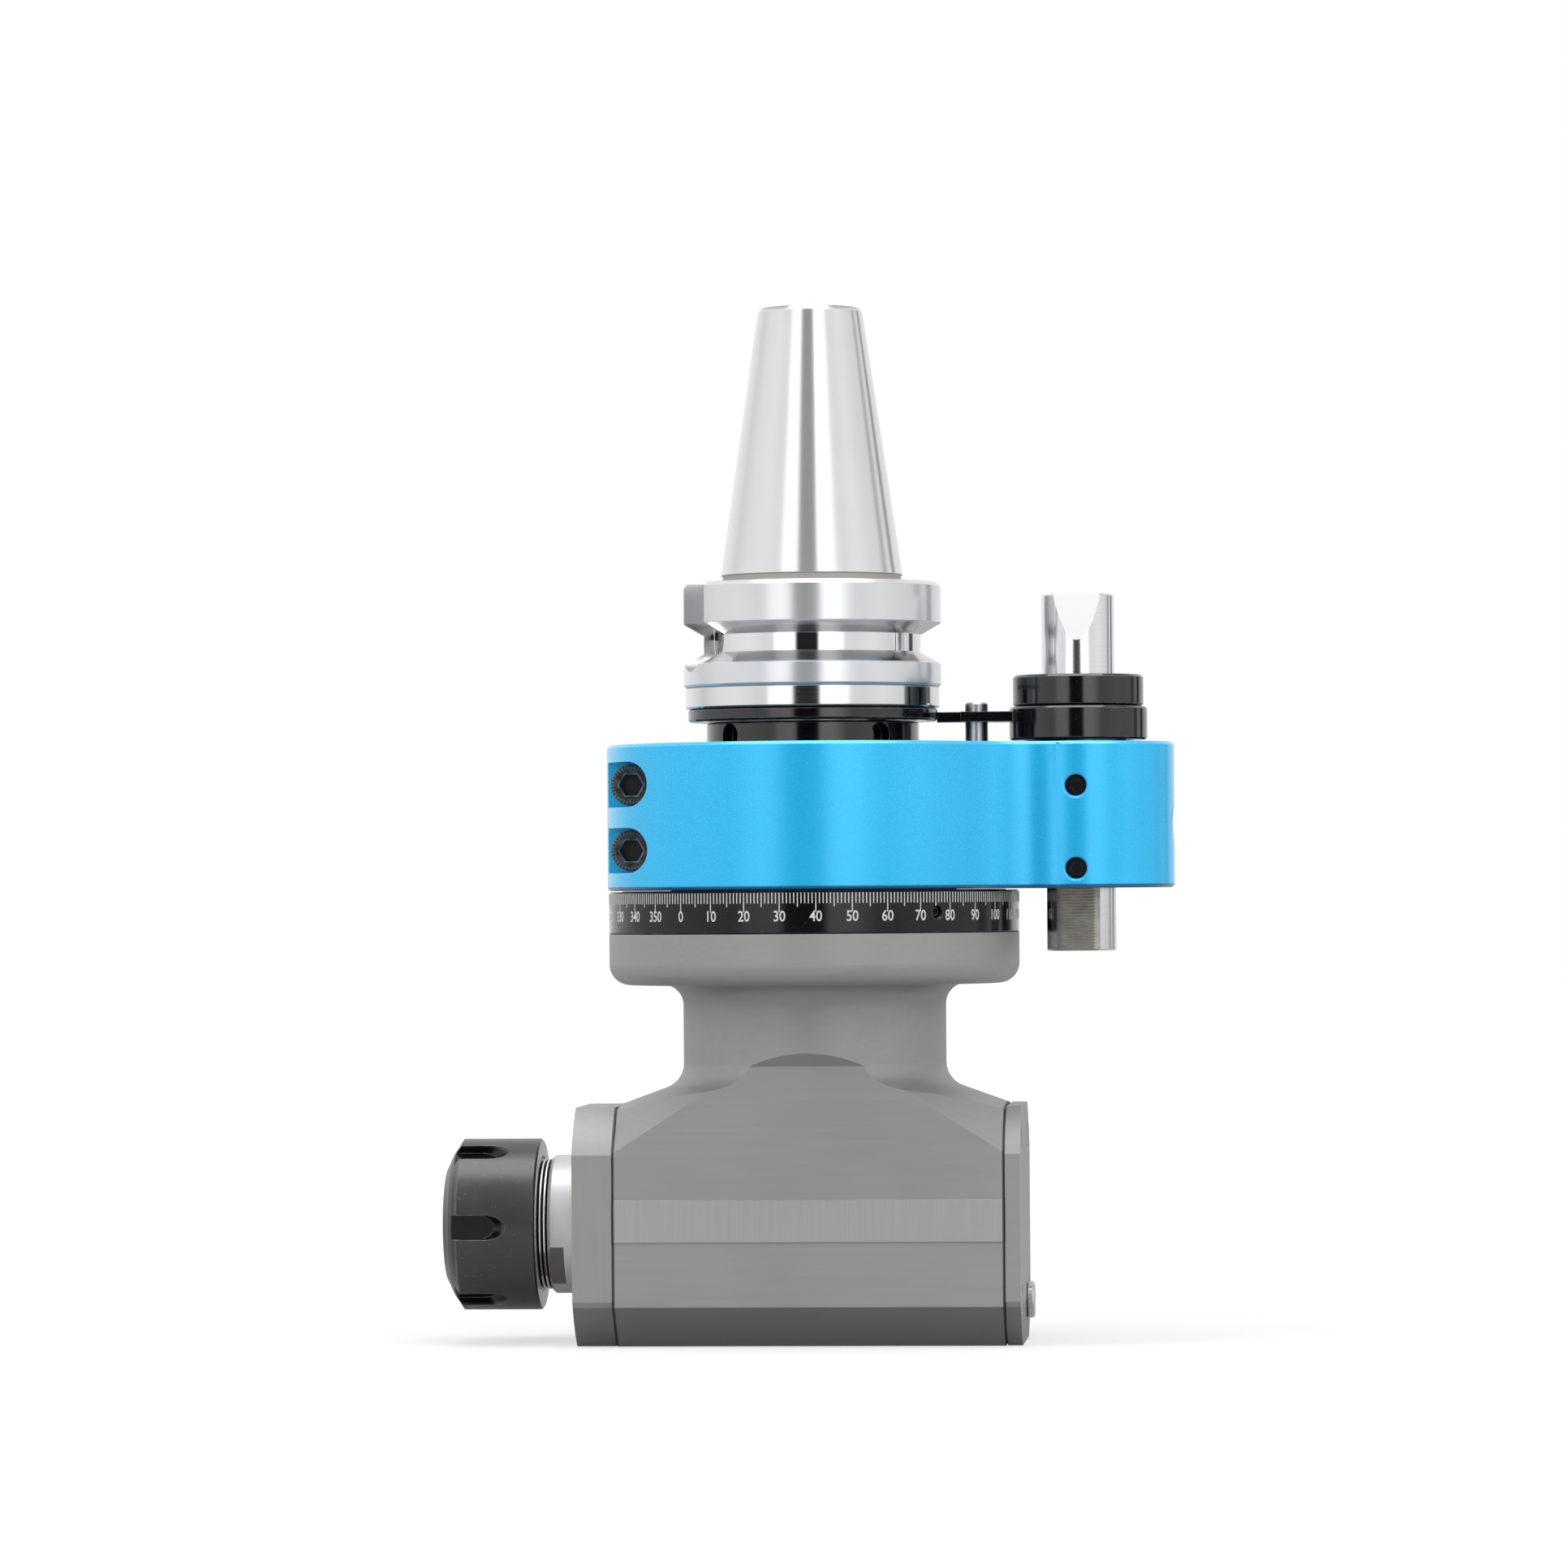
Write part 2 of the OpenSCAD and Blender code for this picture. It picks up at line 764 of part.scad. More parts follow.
module input_seal() {
    foot_z = upper_bearing_z + upper_bearing[2] + seat;
    color([0.15, 0.1, 0.08])
    translate([0, 0, foot_z + 0.5])
        tube(seal_h, seal_r - fit, input_neck_r + run_gap);
}

module input_bearing_upper_outer() {
    color([0.75, 0.75, 0.76])
    translate([0, 0, upper_bearing_z + seat])
        outer_race(upper_bearing - [0, 0, 2 * seat]);
}

module input_bearing_upper_inner() {
    color([0.8, 0.8, 0.81])
    translate([0, 0, upper_bearing_z + seat])
        inner_race(upper_bearing - [0, 0, 2 * seat]);
}

module input_bearing_lower_outer() {
    color([0.75, 0.75, 0.76])
    translate([0, 0, lower_bearing_z + seat])
        outer_race(lower_bearing - [0, 0, 2 * seat]);
}

module input_bearing_lower_inner() {
    color([0.8, 0.8, 0.81])
    translate([0, 0, lower_bearing_z + seat])
        inner_race(lower_bearing - [0, 0, 2 * seat]);
}

// Input spindle

// Half section of the taper, the gripper flange and the shaft
module spindle_section() {
    top_r = gauge_d / 2 - taper_len * 7 / 48;
    grip_r = grip_d / 2;
    flank = (grip_r - groove_floor_d / 2) * tan(30);
    groove_z = gauge_z - groove_mid;
    groove_half = groove_floor_w / 2;
    grip_top = gauge_z - grip_start;
    shaft_top = upper_bearing_z + upper_bearing[2];
    polygon([[0, input_end_z], [input_bore_r - 0.5, input_end_z],
        [input_bore_r, input_end_z + 0.5], [input_bore_r, lower_bearing_z],
        [lower_bearing[0] / 2, lower_bearing_z],
        [lower_bearing[0] / 2, lower_bearing_z + lower_bearing[2]],
        [shaft_r, lower_bearing_z + lower_bearing[2]], [shaft_r, upper_bearing_z - 12],
        [upper_bearing[0] / 2, upper_bearing_z - 12], [upper_bearing[0] / 2, shaft_top],
        [input_neck_r, shaft_top], [input_neck_r, grip_z],
        [grip_r - 0.5, grip_z], [grip_r, grip_z + 0.5],
        [grip_r, groove_z - groove_half - flank], [groove_floor_d / 2, groove_z - groove_half],
        [groove_floor_d / 2, groove_z + groove_half], [grip_r, groove_z + groove_half + flank],
        [grip_r, grip_top - 1], [grip_r - 1, grip_top],
        [gauge_d / 2 - 0.35, grip_top], [gauge_d / 2 - 0.35, gauge_z - 0.25],
        [gauge_d / 2, gauge_z], [top_r + 0.15, shank_top - 1], [top_r - 0.9, shank_top],
        [0, shank_top]]);
}

module input_spindle() {
    color([0.78, 0.78, 0.79])
    difference() {
        rotate_extrude()
            spindle_section();
        for (side = [0, 180])
            rotate(keyway_angle + side)
                keyway();
        translate([0, 0, shank_top - 30])
            cylinder(h = 30 + eps, d = stud_hole_d);
        translate([0, 0, shank_top - 5])
            cylinder(h = 5 + eps, d = 17);
        translate([0, 0, input_end_z - eps])
            cylinder(h = 14, r = 2.1);
    }
}

// Radial keyway with a round lower end
module keyway() {
    end_z = gauge_z - grip_start - keyway_len + keyway_w / 2;
    translate([keyway_floor, 0, end_z])
        rotate([0, 90, 0])
            cylinder(h = far, d = keyway_w);
    translate([keyway_floor, -keyway_w / 2, end_z])
        cube([far, keyway_w, gauge_z - end_z]);
}

module flange_ring() {
    color([0.8, 0.8, 0.81])
    translate([0, 0, flange_ring_z])
        difference() {
            chamfered_disc(flange_ring_h, flange_ring_d / 2, 0.35);
            translate([0, 0, -eps])
                cylinder(h = far, r = input_neck_r + fit);
        }
}

module lock_ring() {
    notch_w = arm_tongue_w + 1;
    color([0.07, 0.07, 0.08])
    translate([0, 0, lock_ring_z])
        difference() {
            chamfered_disc(lock_ring_h, lock_ring_d / 2, 0.5);
            translate([0, 0, -eps])
                cylinder(h = far, r = input_neck_r + fit);
            translate([lock_ring_d / 2 - lock_notch, -notch_w / 2, -eps])
                cube([10, notch_w, far]);
        }
}

// Nut that holds the upper bearing's inner ring against the spindle's neck
module input_shaft_nut() {
    nut_h = 7;
    color([0.3, 0.3, 0.31])
    translate([0, 0, upper_bearing_z - nut_h - seat])
        difference() {
            chamfered_disc(nut_h, input_neck_r - 0.5, 0.5);
            translate([0, 0, -eps])
                cylinder(h = far, r = upper_bearing[0] / 2 + fit);
            for (i = [0:3])
                rotate(i * 90)
                    translate([input_neck_r - 2.5, -2.5, -eps])
                        cube([5, 5, far]);
        }
}

// Bevel gears

function tooth_half_angle(r) =
    let (a = acos(base_r / r), inv_a = tan(a) * 180 / PI - a, inv_p = tan(20) * 180 / PI - 20)
        90 / (gear_teeth / cos(45)) + inv_p - inv_a;

// Flank points of one tooth on the back cone: half width and height over the pitch line
function flank_point(h) =
    let (r = max(virtual_r + h, base_r + 0.001), a = tooth_half_angle(r))
        [r * sin(a) - backlash / 4, h];

function tooth_half() = concat([[flank_point(-root_drop)[0], -root_drop - 0.5]],
    [for (i = [0:4]) flank_point(-root_drop + i * (root_drop + addendum) / 4)]);

function tooth_outline() =
    let (half = tooth_half(), n = len(half))
        concat(half, [for (i = [n - 1:-1:0]) [-half[i][0], half[i][1]]]);

// A point of the tooth outline placed at a distance from the apex, in gear coordinates
function tooth_point(p, distance) =
    let (k = distance / cone_len)
        [(distance + p[1] * k) * sin(45), p[0] * k, (distance - p[1] * k) * cos(45)];

module gear_tooth() {
    outline = tooth_outline();
    n = len(outline);
    near_ring = [for (p = outline) tooth_point(p, cone_len - tooth_len)];
    far_ring = [for (p = outline) tooth_point(p, cone_len)];
    sides = [for (i = [0:n - 1]) [i, (i + 1) % n, n + (i + 1) % n, n + i]];
    polyhedron(concat(near_ring, far_ring),
        concat(sides, [[for (i = [n - 1:-1:0]) i], [for (i = [0:n - 1]) n + i]]));
}

// Bevel gear with its apex at the origin and its hub upwards, turned by a share of a tooth
module bevel_gear(bore_r, phase, hub_top) {
    root = [for (d = [cone_len - tooth_len, cone_len]) tooth_point([0, -root_drop], d)];
    near = root[0];
    out = root[1];
    step = 360 / gear_teeth;
    rotate((phase + 0.5) * step)
        difference() {
            union() {
                rotate_extrude()
                    polygon([[0, near[2]], [near[0], near[2]], [out[0], out[2]],
                        [out[0], out[2] + 1.6], [gear_hub_r, out[2] + 3],
                        [gear_hub_r, hub_top], [0, hub_top]]);
                for (i = [0:gear_teeth - 1])
                    rotate((i + 0.5) * step)
                        gear_tooth();
            }
            translate([0, 0, -1])
                cylinder(h = far, r = bore_r + fit);
        }
}

module input_bevel_gear() {
    color([0.55, 0.53, 0.5])
    translate([0, 0, axis_h])
        bevel_gear(input_bore_r, 0, lower_bearing_z - axis_h - seat);
}

module output_bevel_gear() {
    color([0.55, 0.53, 0.5])
    on_output_axis()
        bevel_gear(output_bore_r, 0.5, output_shoulder - seat);
}

// Washer and screw that hold the input gear on its shaft
module gear_washer() {
    color([0.5, 0.5, 0.5])
    translate([0, 0, axis_h + gear_front - washer_t - seat])
        tube(washer_t, gear_washer_r, 2.1);
}

module gear_screw() {
    color([0.15, 0.15, 0.16])
    translate([0, 0, axis_h + gear_front - washer_t - 2 * seat])
        rotate([180, 0, 0])
            socket_screw(4, 7, 2.2, 12, 2.5);
}

// Output side

module output_bearing_front_outer() {
    color([0.75, 0.75, 0.76])
    translate([front_bearing_x + seat, 0, axis_h])
        rotate([0, 90, 0])
            for (i = [0, 1])
                translate([0, 0, i * front_bearing[2] / 2])
                    outer_race([front_bearing[0], front_bearing[1], front_bearing[2] / 2 - seat * 2]);
}

module output_bearing_front_inner() {
    color([0.8, 0.8, 0.81])
    translate([front_bearing_x + seat, 0, axis_h])
        rotate([0, 90, 0])
            for (i = [0, 1])
                translate([0, 0, i * front_bearing[2] / 2])
                    inner_race([front_bearing[0], front_bearing[1], front_bearing[2] / 2 - seat * 2]);
}

module output_bearing_rear_outer() {
    color([0.75, 0.75, 0.76])
    translate([rear_bearing_x + seat, 0, axis_h])
        rotate([0, 90, 0])
            outer_race(rear_bearing - [0, 0, 2 * seat]);
}

module output_bearing_rear_inner() {
    color([0.8, 0.8, 0.81])
    translate([rear_bearing_x + seat, 0, axis_h])
        rotate([0, 90, 0])
            inner_race(rear_bearing - [0, 0, 2 * seat]);
}

module output_seal() {
    color([0.15, 0.1, 0.08])
    output_tube(-half_len - 7, -half_len - 0.1, output_seal_r - fit, nose_d / 2 + run_gap);
}

// Half section of the output spindle, from its nose at the top down to the rear shaft nut
module output_section() {
    nose_tip = -nose_tip_x;
    collar_front = -plate_x + nose_len;
    shoulder = half_len - 0.3;
    gear_end = gear_front - 0.5;
    rear_start = 2 - rear_bearing_x;
    rear_end = -half_len + 1.5;
    nose_r = nose_d / 2;
    thread_r = thread_d / 2;
    ridges = [for (i = [3:-1:1], p = [[0, 0.35], [0, 0], [-0.7, -0.4]])
        [thread_r + p[0], collar_front + i * thread_pitch + p[1] - 0.4]];
    polygon(concat([[0, nose_tip], [thread_r - 1, nose_tip], [thread_r, nose_tip - 1]], ridges,
        [[thread_r - 1.1, collar_front + 0.3], [thread_r - 1.1, collar_front],
        [nose_r - 0.8, collar_front],
        [nose_r, collar_front - 0.8], [nose_r, shoulder], [front_seat_d / 2, shoulder],
        [front_seat_d / 2, output_shoulder], [output_bore_r, output_shoulder],
        [output_bore_r, gear_end], [output_mid_r, gear_end],
        [output_mid_r, rear_start], [rear_seat_d / 2, rear_start],
        [rear_seat_d / 2, rear_end], [0, rear_end]]));
}

module output_spindle() {
    flats = spanner_flats / 2;
    color([0.74, 0.74, 0.75])
    difference() {
        on_output_axis()
            difference() {
                rotate_extrude()
                    output_section();
                translate([0, 0, -nose_tip_x - collet_depth])
                    cylinder(h = collet_depth + eps, r1 = collet_mouth_r
                        - collet_depth * tan(taper_half), r2 = collet_mouth_r);
                translate([0, 0, -nose_tip_x - 60])
                    cylinder(h = 60, r = 5.5);
            }
        for (side = [0, 180])
            translate([plate_x - nose_len + 0.2, 0, axis_h])
                rotate([flats_turn + side, 0, 0])
                    translate([0, -nose_d, flats])
                        cube([3.8, 2 * nose_d, nose_d]);
    }
}

module shaft_nut() {
    color([0.3, 0.3, 0.31])
    difference() {
        output_tube(rear_bearing_x + rear_bearing[2] + seat, half_len - 0.8, 13, rear_seat_d / 2 + fit);
        for (i = [0:3])
            translate([0, 0, axis_h])
                rotate([i * 90, 0, 0])
                    translate([rear_bearing_x, -2, 11.2])
                        cube([far, 4, 5]);
    }
}

// Collet: long cone in the spindle, short cone under the nut, slotted from both ends
module collet() {
    depth = collet_seat_len;
    tail_r = collet_mouth_r - depth * tan(taper_half) - fit;
    groove_r = collet_mouth_r - 1.4;
    color([0.72, 0.72, 0.73])
    on_output_axis()
        difference() {
            rotate_extrude()
                translate([0, -nose_tip_x])
                    polygon([[0, -depth], [tail_r - 0.5, -depth], [tail_r, 0.6 - depth],
                        [collet_mouth_r - fit, 0], [collet_mouth_r - fit, 0.5],
                        [groove_r, 0.9], [groove_r, 2.3], [collet_cone_r, 2.6],
                        [collet_cone_r - (collet_rise - 2.6) * tan(30), collet_rise],
                        [0, collet_rise]]);
            translate([0, 0, -nose_tip_x - depth - eps])
                cylinder(h = far, d = collet_bore_d);
            for (i = [0:7])
                rotate(i * 45)
                    translate([0, -0.4, -nose_tip_x - depth + (i % 2 == 0 ? 5 : -eps)])
                        cube([far, 0.8, i % 2 == 0 ? far : depth - 3]);
        }
}

module collet_nut() {
    front_z = -nut_front_x;
    back_z = -nut_back_x;
    nut_r = nut_d / 2;
    tip_z = -nose_tip_x;
    cone_r = collet_cone_r + 0.12;
    lip_r = cone_r - (collet_rise - 2.4) * tan(30);
    color([0.16, 0.16, 0.17])
    on_output_axis()
        difference() {
            rotate_extrude()
                polygon([[nut_thread_r + 0.8, back_z], [nut_r - 0.5, back_z],
                    [nut_r, back_z + 0.5], [nut_r, front_z - nut_lip_h],
                    [nut_r - 3.4, front_z - 1.7], [nut_r - 5.4, front_z - 0.8],
                    [nut_r - 7, front_z], [lip_r + 0.7, front_z],
                    [lip_r, tip_z + collet_rise + 0.2], [cone_r, tip_z + 2.6],
                    [cone_r, tip_z + 2.2], [collet_mouth_r + 1.4, tip_z + 1.8],
                    [collet_mouth_r + 1.4, tip_z + 0.5],
                    [nut_thread_r, tip_z + 0.5], [nut_thread_r, back_z + 0.8]]);
            for (i = [0:nut_slots - 1])
                rotate(i * 360 / nut_slots)
                    nut_slot(front_z, nut_r);
        }
}

// Spanner slot with a floor parallel to the axis and a round blind end that slopes outwards
module nut_slot(front_z, nut_r) {
    lean = atan((slot_len - slot_floor_len) / slot_depth);
    round_z = slot_w / 2 / cos(lean);
    translate([0, nut_r - slot_depth, front_z - slot_floor_len + round_z]) {
        intersection() {
            rotate([-90 - lean, 0, 0])
                translate([0, 0, -slot_w]) {
                    cylinder(h = nut_r, d = slot_w);
                    translate([-slot_w / 2, -slot_w, 0])
                        cube([slot_w, slot_w, nut_r]);
                }
            translate([-slot_w, 0, -nut_r])
                cube([2 * slot_w, nut_r, 2 * nut_r]);
        }
        translate([-slot_w / 2, 0, 0])
            cube([slot_w, nut_r, slot_len]);
    }
}

// Torque ring

// Web that fills the hollow between ring and boss on one side, with chamfered rims
module hollow_web() {
    ring_r = torque_d / 2;
    boss_r = boss_d / 2;
    a = ring_r + hollow_r;
    b = boss_r + hollow_r;
    cx = (pin_offset * pin_offset + a * a - b * b) / (2 * pin_offset);
    cy = -sqrt(a * a - cx * cx);
    difference() {
        linear_extrude(torque_h)
            polygon([[0, 0], [cx * ring_r / a, cy * ring_r / a], [cx, cy],
                [pin_offset + (cx - pin_offset) * boss_r / b, cy * boss_r / b], [pin_offset, 0]]);
        translate([cx, cy, -eps])
            cylinder(h = torque_h + 2 * eps, r = hollow_r);
        for (top = [0, 1])
            translate([cx, cy, top * torque_h])
                mirror([0, 0, top])
                    translate([0, 0, -eps])
                        cylinder(h = ring_chamfer, r1 = hollow_r + ring_chamfer, r2 = hollow_r);
    }
}

module torque_ring() {
    color([0.05, 0.62, 0.88])
    translate([0, 0, torque_z])
        difference() {
            union() {
                chamfered_disc(torque_h, torque_d / 2, ring_chamfer);
                translate([pin_offset, 0, 0])
                    chamfered_disc(torque_h, boss_d / 2, ring_chamfer);
                hollow_web();
                mirror([0, 1, 0])
                    hollow_web();
            }
            translate([0, 0, -eps])
                cylinder(h = far, r = sleeve_r + fit);
            translate([-torque_d, -slit_w / 2, -eps])
                cube([torque_d, slit_w, far]);
            clamp_holes();
            pin_holes();
            translate([dowel_x, 0, torque_h - dowel_depth])
                cylinder(h = far, d = dowel_d + 2 * fit);
        }
}

module clamp_places() {
    for (side = [-1, 1])
        translate([-clamp_offset, 0, torque_h / 2 + side * clamp_spacing / 2])
            children();
}

module clamp_holes() {
    clamp_places() {
        rotate([90, 0, 0])
            translate([0, 0, -clamp_hole_end])
                cylinder(h = torque_d, r = m6_r + 0.15);
        translate([0, -clamp_seat_y, 0])
            rotate([90, 0, 0])
                cylinder(h = torque_d, d = clamp_bore_d);
        translate([-torque_d, -clamp_seat_y - torque_d, -clamp_bore_d / 2])
            cube([torque_d, torque_d, clamp_bore_d]);
    }
}

module pin_holes() {
    translate([pin_offset, 0, 0]) {
        translate([0, 0, -eps])
            cylinder(h = far, d = bush_d + 2 * fit);
        translate([0, 0, collar_bore_z - torque_z])
            cylinder(h = far, d = collar_bore_d);
        bush_screw_places() {
            translate([0, 0, -boss_d / 2])
                cylinder(h = boss_d, r = m6_tap_r);
            translate([0, 0, -0.6])
                cylinder(h = 1.2, r1 = m6_tap_r - 0.05, r2 = m6_tap_r + 1.15);
        }
        side_screw_place()
            translate([0, 0, -12])
                cylinder(h = 20, r = 5.05);
    }
}

module bush_screw_places() {
    for (i = [0, 1])
        translate([0, -boss_d / 2, 4.8 + i * bush_screw_spacing])
            rotate([90, 0, 0])
                children();
}

module side_screw_place() {
    translate([boss_d / 2, 0, torque_h / 2 - 1.8])
        rotate([0, 90, 0])
            children();
}

module clamp_screws() {
    color([0.08, 0.08, 0.09])
    translate([0, 0, torque_z])
        clamp_places()
            translate([0, -clamp_seat_y - seat, 0])
                rotate([90, 0, 0])
                    socket_screw(2 * m6_r, m6_head_d, 6, clamp_seat_y + clamp_hole_end - 2,
                        m6_socket);
}

module pin_bush() {
    color([0.62, 0.62, 0.63])
    translate([pin_offset, 0, bush_z])
        tube(bush_top - bush_z, bush_d / 2, guide_r + fit);
}

module bush_screws() {
    color([0.06, 0.06, 0.07])
    translate([pin_offset, 0, torque_z])
        bush_screw_places()
            translate([0, 0, -bush_screw_sink])
                set_screw(2 * m6_tap_r - fit, boss_d / 2 - bush_d / 2 - bush_screw_sink - seat, 2.5);
}

module side_screw() {
    color([0.06, 0.06, 0.07])
    translate([pin_offset, 0, torque_z])
        side_screw_place()
            translate([0, 0, -1.2])
                set_screw(10, boss_d / 2 - bush_d / 2 - 1.2 - seat, 5);
}

module guide_dowel() {
    color([0.75, 0.75, 0.76])
    translate([dowel_x, 0, torque_top - dowel_depth + seat])
        chamfered_disc(dowel_depth + dowel_rise, dowel_d / 2, 0.4);
}

// Stop pin

module stop_pin() {
    top_z = torque_top + pin_rise;
    foot_z = torque_z - pin_drop;
    pin_r = pin_d / 2;
    neck = pin_r - tip_groove_depth;
    color([0.76, 0.76, 0.78])
    difference() {
        translate([pin_offset, 0, 0])
            rotate_extrude()
                polygon([[0, foot_z], [guide_r - 0.4, foot_z], [guide_r, foot_z + 0.4],
                    [guide_r, tip_z - tip_groove_w], [neck, tip_z - tip_groove_w],
                    [neck, tip_z], [pin_r, tip_z], [pin_r, top_z - 0.4], [pin_r - 0.4, top_z],
                    [0, top_z]]);
        pin_ramp(top_z, pin_r);
        translate([pin_offset - guide_r - far + rack_side_flat, -pin_d, foot_z - eps])
            cube([far, 2 * pin_d, rack_len]);
        translate([pin_offset, -guide_r + rack_flat, foot_z])
            rack_waste();
    }
}

// Tilted plane that runs out down the front of the pin
module pin_ramp(top_z, pin_r) {
    translate([pin_offset - pin_d, -pin_r, top_z - ramp_len])
        rotate([90, 0, 90])
            linear_extrude(2 * pin_d)
                polygon([[-5, 0], [0, 0], [ramp_depth, ramp_len], [ramp_depth, ramp_len + 2],
                    [-5, ramp_len + 2]]);
}

// Saw of fine teeth cut into the front of the pin's foot
module rack_waste() {
    count = floor(rack_len / rack_pitch);
    depth = rack_pitch * 0.5;
    teeth = [for (i = [0:count - 1], s = [0, 1])
        [s == 0 ? -depth : 0, (i + s * 0.5) * rack_pitch]];
    translate([-pin_d, 0, 0])
        rotate([90, 0, 90])
            linear_extrude(2 * pin_d)
                polygon(concat([[-6, -1], [-depth, -1]], teeth,
                    [[-depth, count * rack_pitch], [-6, count * rack_pitch]]));
}

// Lower collar and, as a plate of its own let into the collar's slot, the lock arm
module lock_arm() {
    collar_r = low_collar_d / 2;
    root_x = pin_offset - collar_r + 2;
    color([0.07, 0.07, 0.08]) {
        difference() {
            translate([pin_offset, 0, low_collar_z])
                chamfered_disc(low_collar_h, collar_r, 0.5);
            translate([pin_offset, 0, low_collar_z - eps]) {
                cylinder(h = far, r = guide_r + fit);
                cylinder(h = low_collar_h - 2, d = pocket_d);
            }
            translate([0, -arm_w / 2 - seat, arm_z - seat])
                cube([root_x + seat, arm_w + 2 * seat, arm_t + 2 * seat]);
        }
        arm_plate(root_x);
    }
}

module arm_plate(root_x) {
    tongue_end = lock_ring_d / 2 + 6;
    difference() {
        union() {
            translate([tongue_end, -arm_w / 2, arm_z])
                cube([root_x - tongue_end, arm_w, arm_t]);
            translate([arm_tip - 1, -arm_tongue_w / 2, arm_z])
                cube([tongue_end - arm_tip + 2, arm_tongue_w, arm_t]);
        }
        translate([0, 0, arm_z - eps])
            cylinder(h = arm_t + 2 * eps, r = arm_tip);
        translate([dowel_x, 0, arm_z - eps])
            cylinder(h = far, d = dowel_d + 2 * fit);
    }
}

module pin_collar() {
    color([0.09, 0.09, 0.1])
    translate([pin_offset, 0, low_collar_z + low_collar_h + seat])
        difference() {
            chamfered_disc(top_collar_h, top_collar_d / 2, 0.6);
            translate([0, 0, -eps])
                cylinder(h = far, r = guide_r + fit);
        }
}

// Return spring: one round wire swept along a helix
module pin_spring() {
    coils = 5;
    wire = 1.4;
    mid_r = 11.2;
    rise = spring_top - spring_z - wire;
    steps = coils * 16;
    color([0.5, 0.5, 0.52])
    translate([pin_offset, 0, spring_z + wire / 2])
        polyhedron(spring_points(coils, wire, mid_r, rise, steps), spring_faces(steps));
}

function spring_points(coils, wire, mid_r, rise, steps) =
    [for (i = [0:steps], k = [0:7])
        let (turn = i * 360 * coils / steps, a = k * 45 + 22.5,
            r = mid_r + wire / 2 * cos(a))
            [r * cos(turn), r * sin(turn), rise * i / steps + wire / 2 * sin(a)]];

function spring_faces(steps) =
    concat([[for (k = [0:7]) k]],
        [for (i = [0:steps - 1], k = [0:7])
            [i * 8 + k, (i + 1) * 8 + k, (i + 1) * 8 + (k + 1) % 8, i * 8 + (k + 1) % 8]],
        [[for (k = [7:-1:0]) steps * 8 + k]]);

housing();
front_plate();
rear_cover();
plate_screws();
cover_screws();
grease_plug();
scale_ring();
scale_screw();
input_sleeve();
sleeve_bolts();
bearing_nut();
input_seal();
input_bearing_upper_outer();
input_bearing_lower_outer();
output_bearing_front_outer();
output_bearing_rear_outer();
output_seal();
input_spindle();
flange_ring();
lock_ring();
input_bearing_upper_inner();
input_bearing_lower_inner();
input_shaft_nut();
input_bevel_gear();
gear_washer();
gear_screw();
output_spindle();
output_bevel_gear();
output_bearing_front_inner();
output_bearing_rear_inner();
shaft_nut();
collet();
collet_nut();
torque_ring();
clamp_screws();
pin_bush();
bush_screws();
side_screw();
guide_dowel();
stop_pin();
lock_arm();
pin_collar();
pin_spring();
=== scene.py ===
import math

import bpy
from mathutils import Matrix, Vector


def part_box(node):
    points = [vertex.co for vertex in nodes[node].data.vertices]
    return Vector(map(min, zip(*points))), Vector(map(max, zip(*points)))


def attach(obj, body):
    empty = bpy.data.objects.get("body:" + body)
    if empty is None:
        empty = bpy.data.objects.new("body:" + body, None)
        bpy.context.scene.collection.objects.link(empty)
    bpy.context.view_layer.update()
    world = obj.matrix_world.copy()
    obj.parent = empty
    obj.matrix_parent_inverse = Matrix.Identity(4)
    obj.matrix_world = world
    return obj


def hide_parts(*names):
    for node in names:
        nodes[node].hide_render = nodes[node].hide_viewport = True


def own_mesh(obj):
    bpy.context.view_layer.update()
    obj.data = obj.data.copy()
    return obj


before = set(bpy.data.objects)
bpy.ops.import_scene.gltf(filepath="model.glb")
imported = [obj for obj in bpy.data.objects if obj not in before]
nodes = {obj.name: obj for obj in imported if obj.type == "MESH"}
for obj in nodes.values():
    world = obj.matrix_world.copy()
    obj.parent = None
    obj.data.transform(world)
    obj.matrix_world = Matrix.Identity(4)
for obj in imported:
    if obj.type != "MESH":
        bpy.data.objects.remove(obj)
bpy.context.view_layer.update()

MM = 0.001

# Camera of the photograph, in millimetres, degrees and pixels of a 1932 pixel frame
FRAME_PX = 1932
CAMERA_DISTANCE = 1750
CAMERA_AZIMUTH = 4.3
CAMERA_HEIGHT = 109.9
CAMERA_SIDE = -7.36
CAMERA_ROLL = 0.4
CAMERA_REACH = 20000
SENSOR = 36
PX_PER_MM = 5.03
HORIZON_PX = 1100


def add_camera():
    data = bpy.data.cameras.new("camera")
    data.sensor_width = SENSOR
    data.lens = PX_PER_MM * CAMERA_DISTANCE / FRAME_PX * SENSOR
    data.shift_y = (HORIZON_PX - FRAME_PX / 2) / FRAME_PX
    data.clip_end = CAMERA_REACH * MM
    camera = bpy.data.objects.new("camera", data)
    bpy.context.scene.collection.objects.link(camera)
    turn = math.radians(CAMERA_AZIMUTH)
    side = CAMERA_SIDE * MM
    away = CAMERA_DISTANCE * MM
    camera.location = (side * math.cos(turn) + away * math.sin(turn),
                       side * math.sin(turn) - away * math.cos(turn),
                       CAMERA_HEIGHT * MM)
    camera.rotation_euler = (math.radians(90), math.radians(CAMERA_ROLL), turn)
    bpy.context.scene.camera = camera


add_camera()


# Shader maths

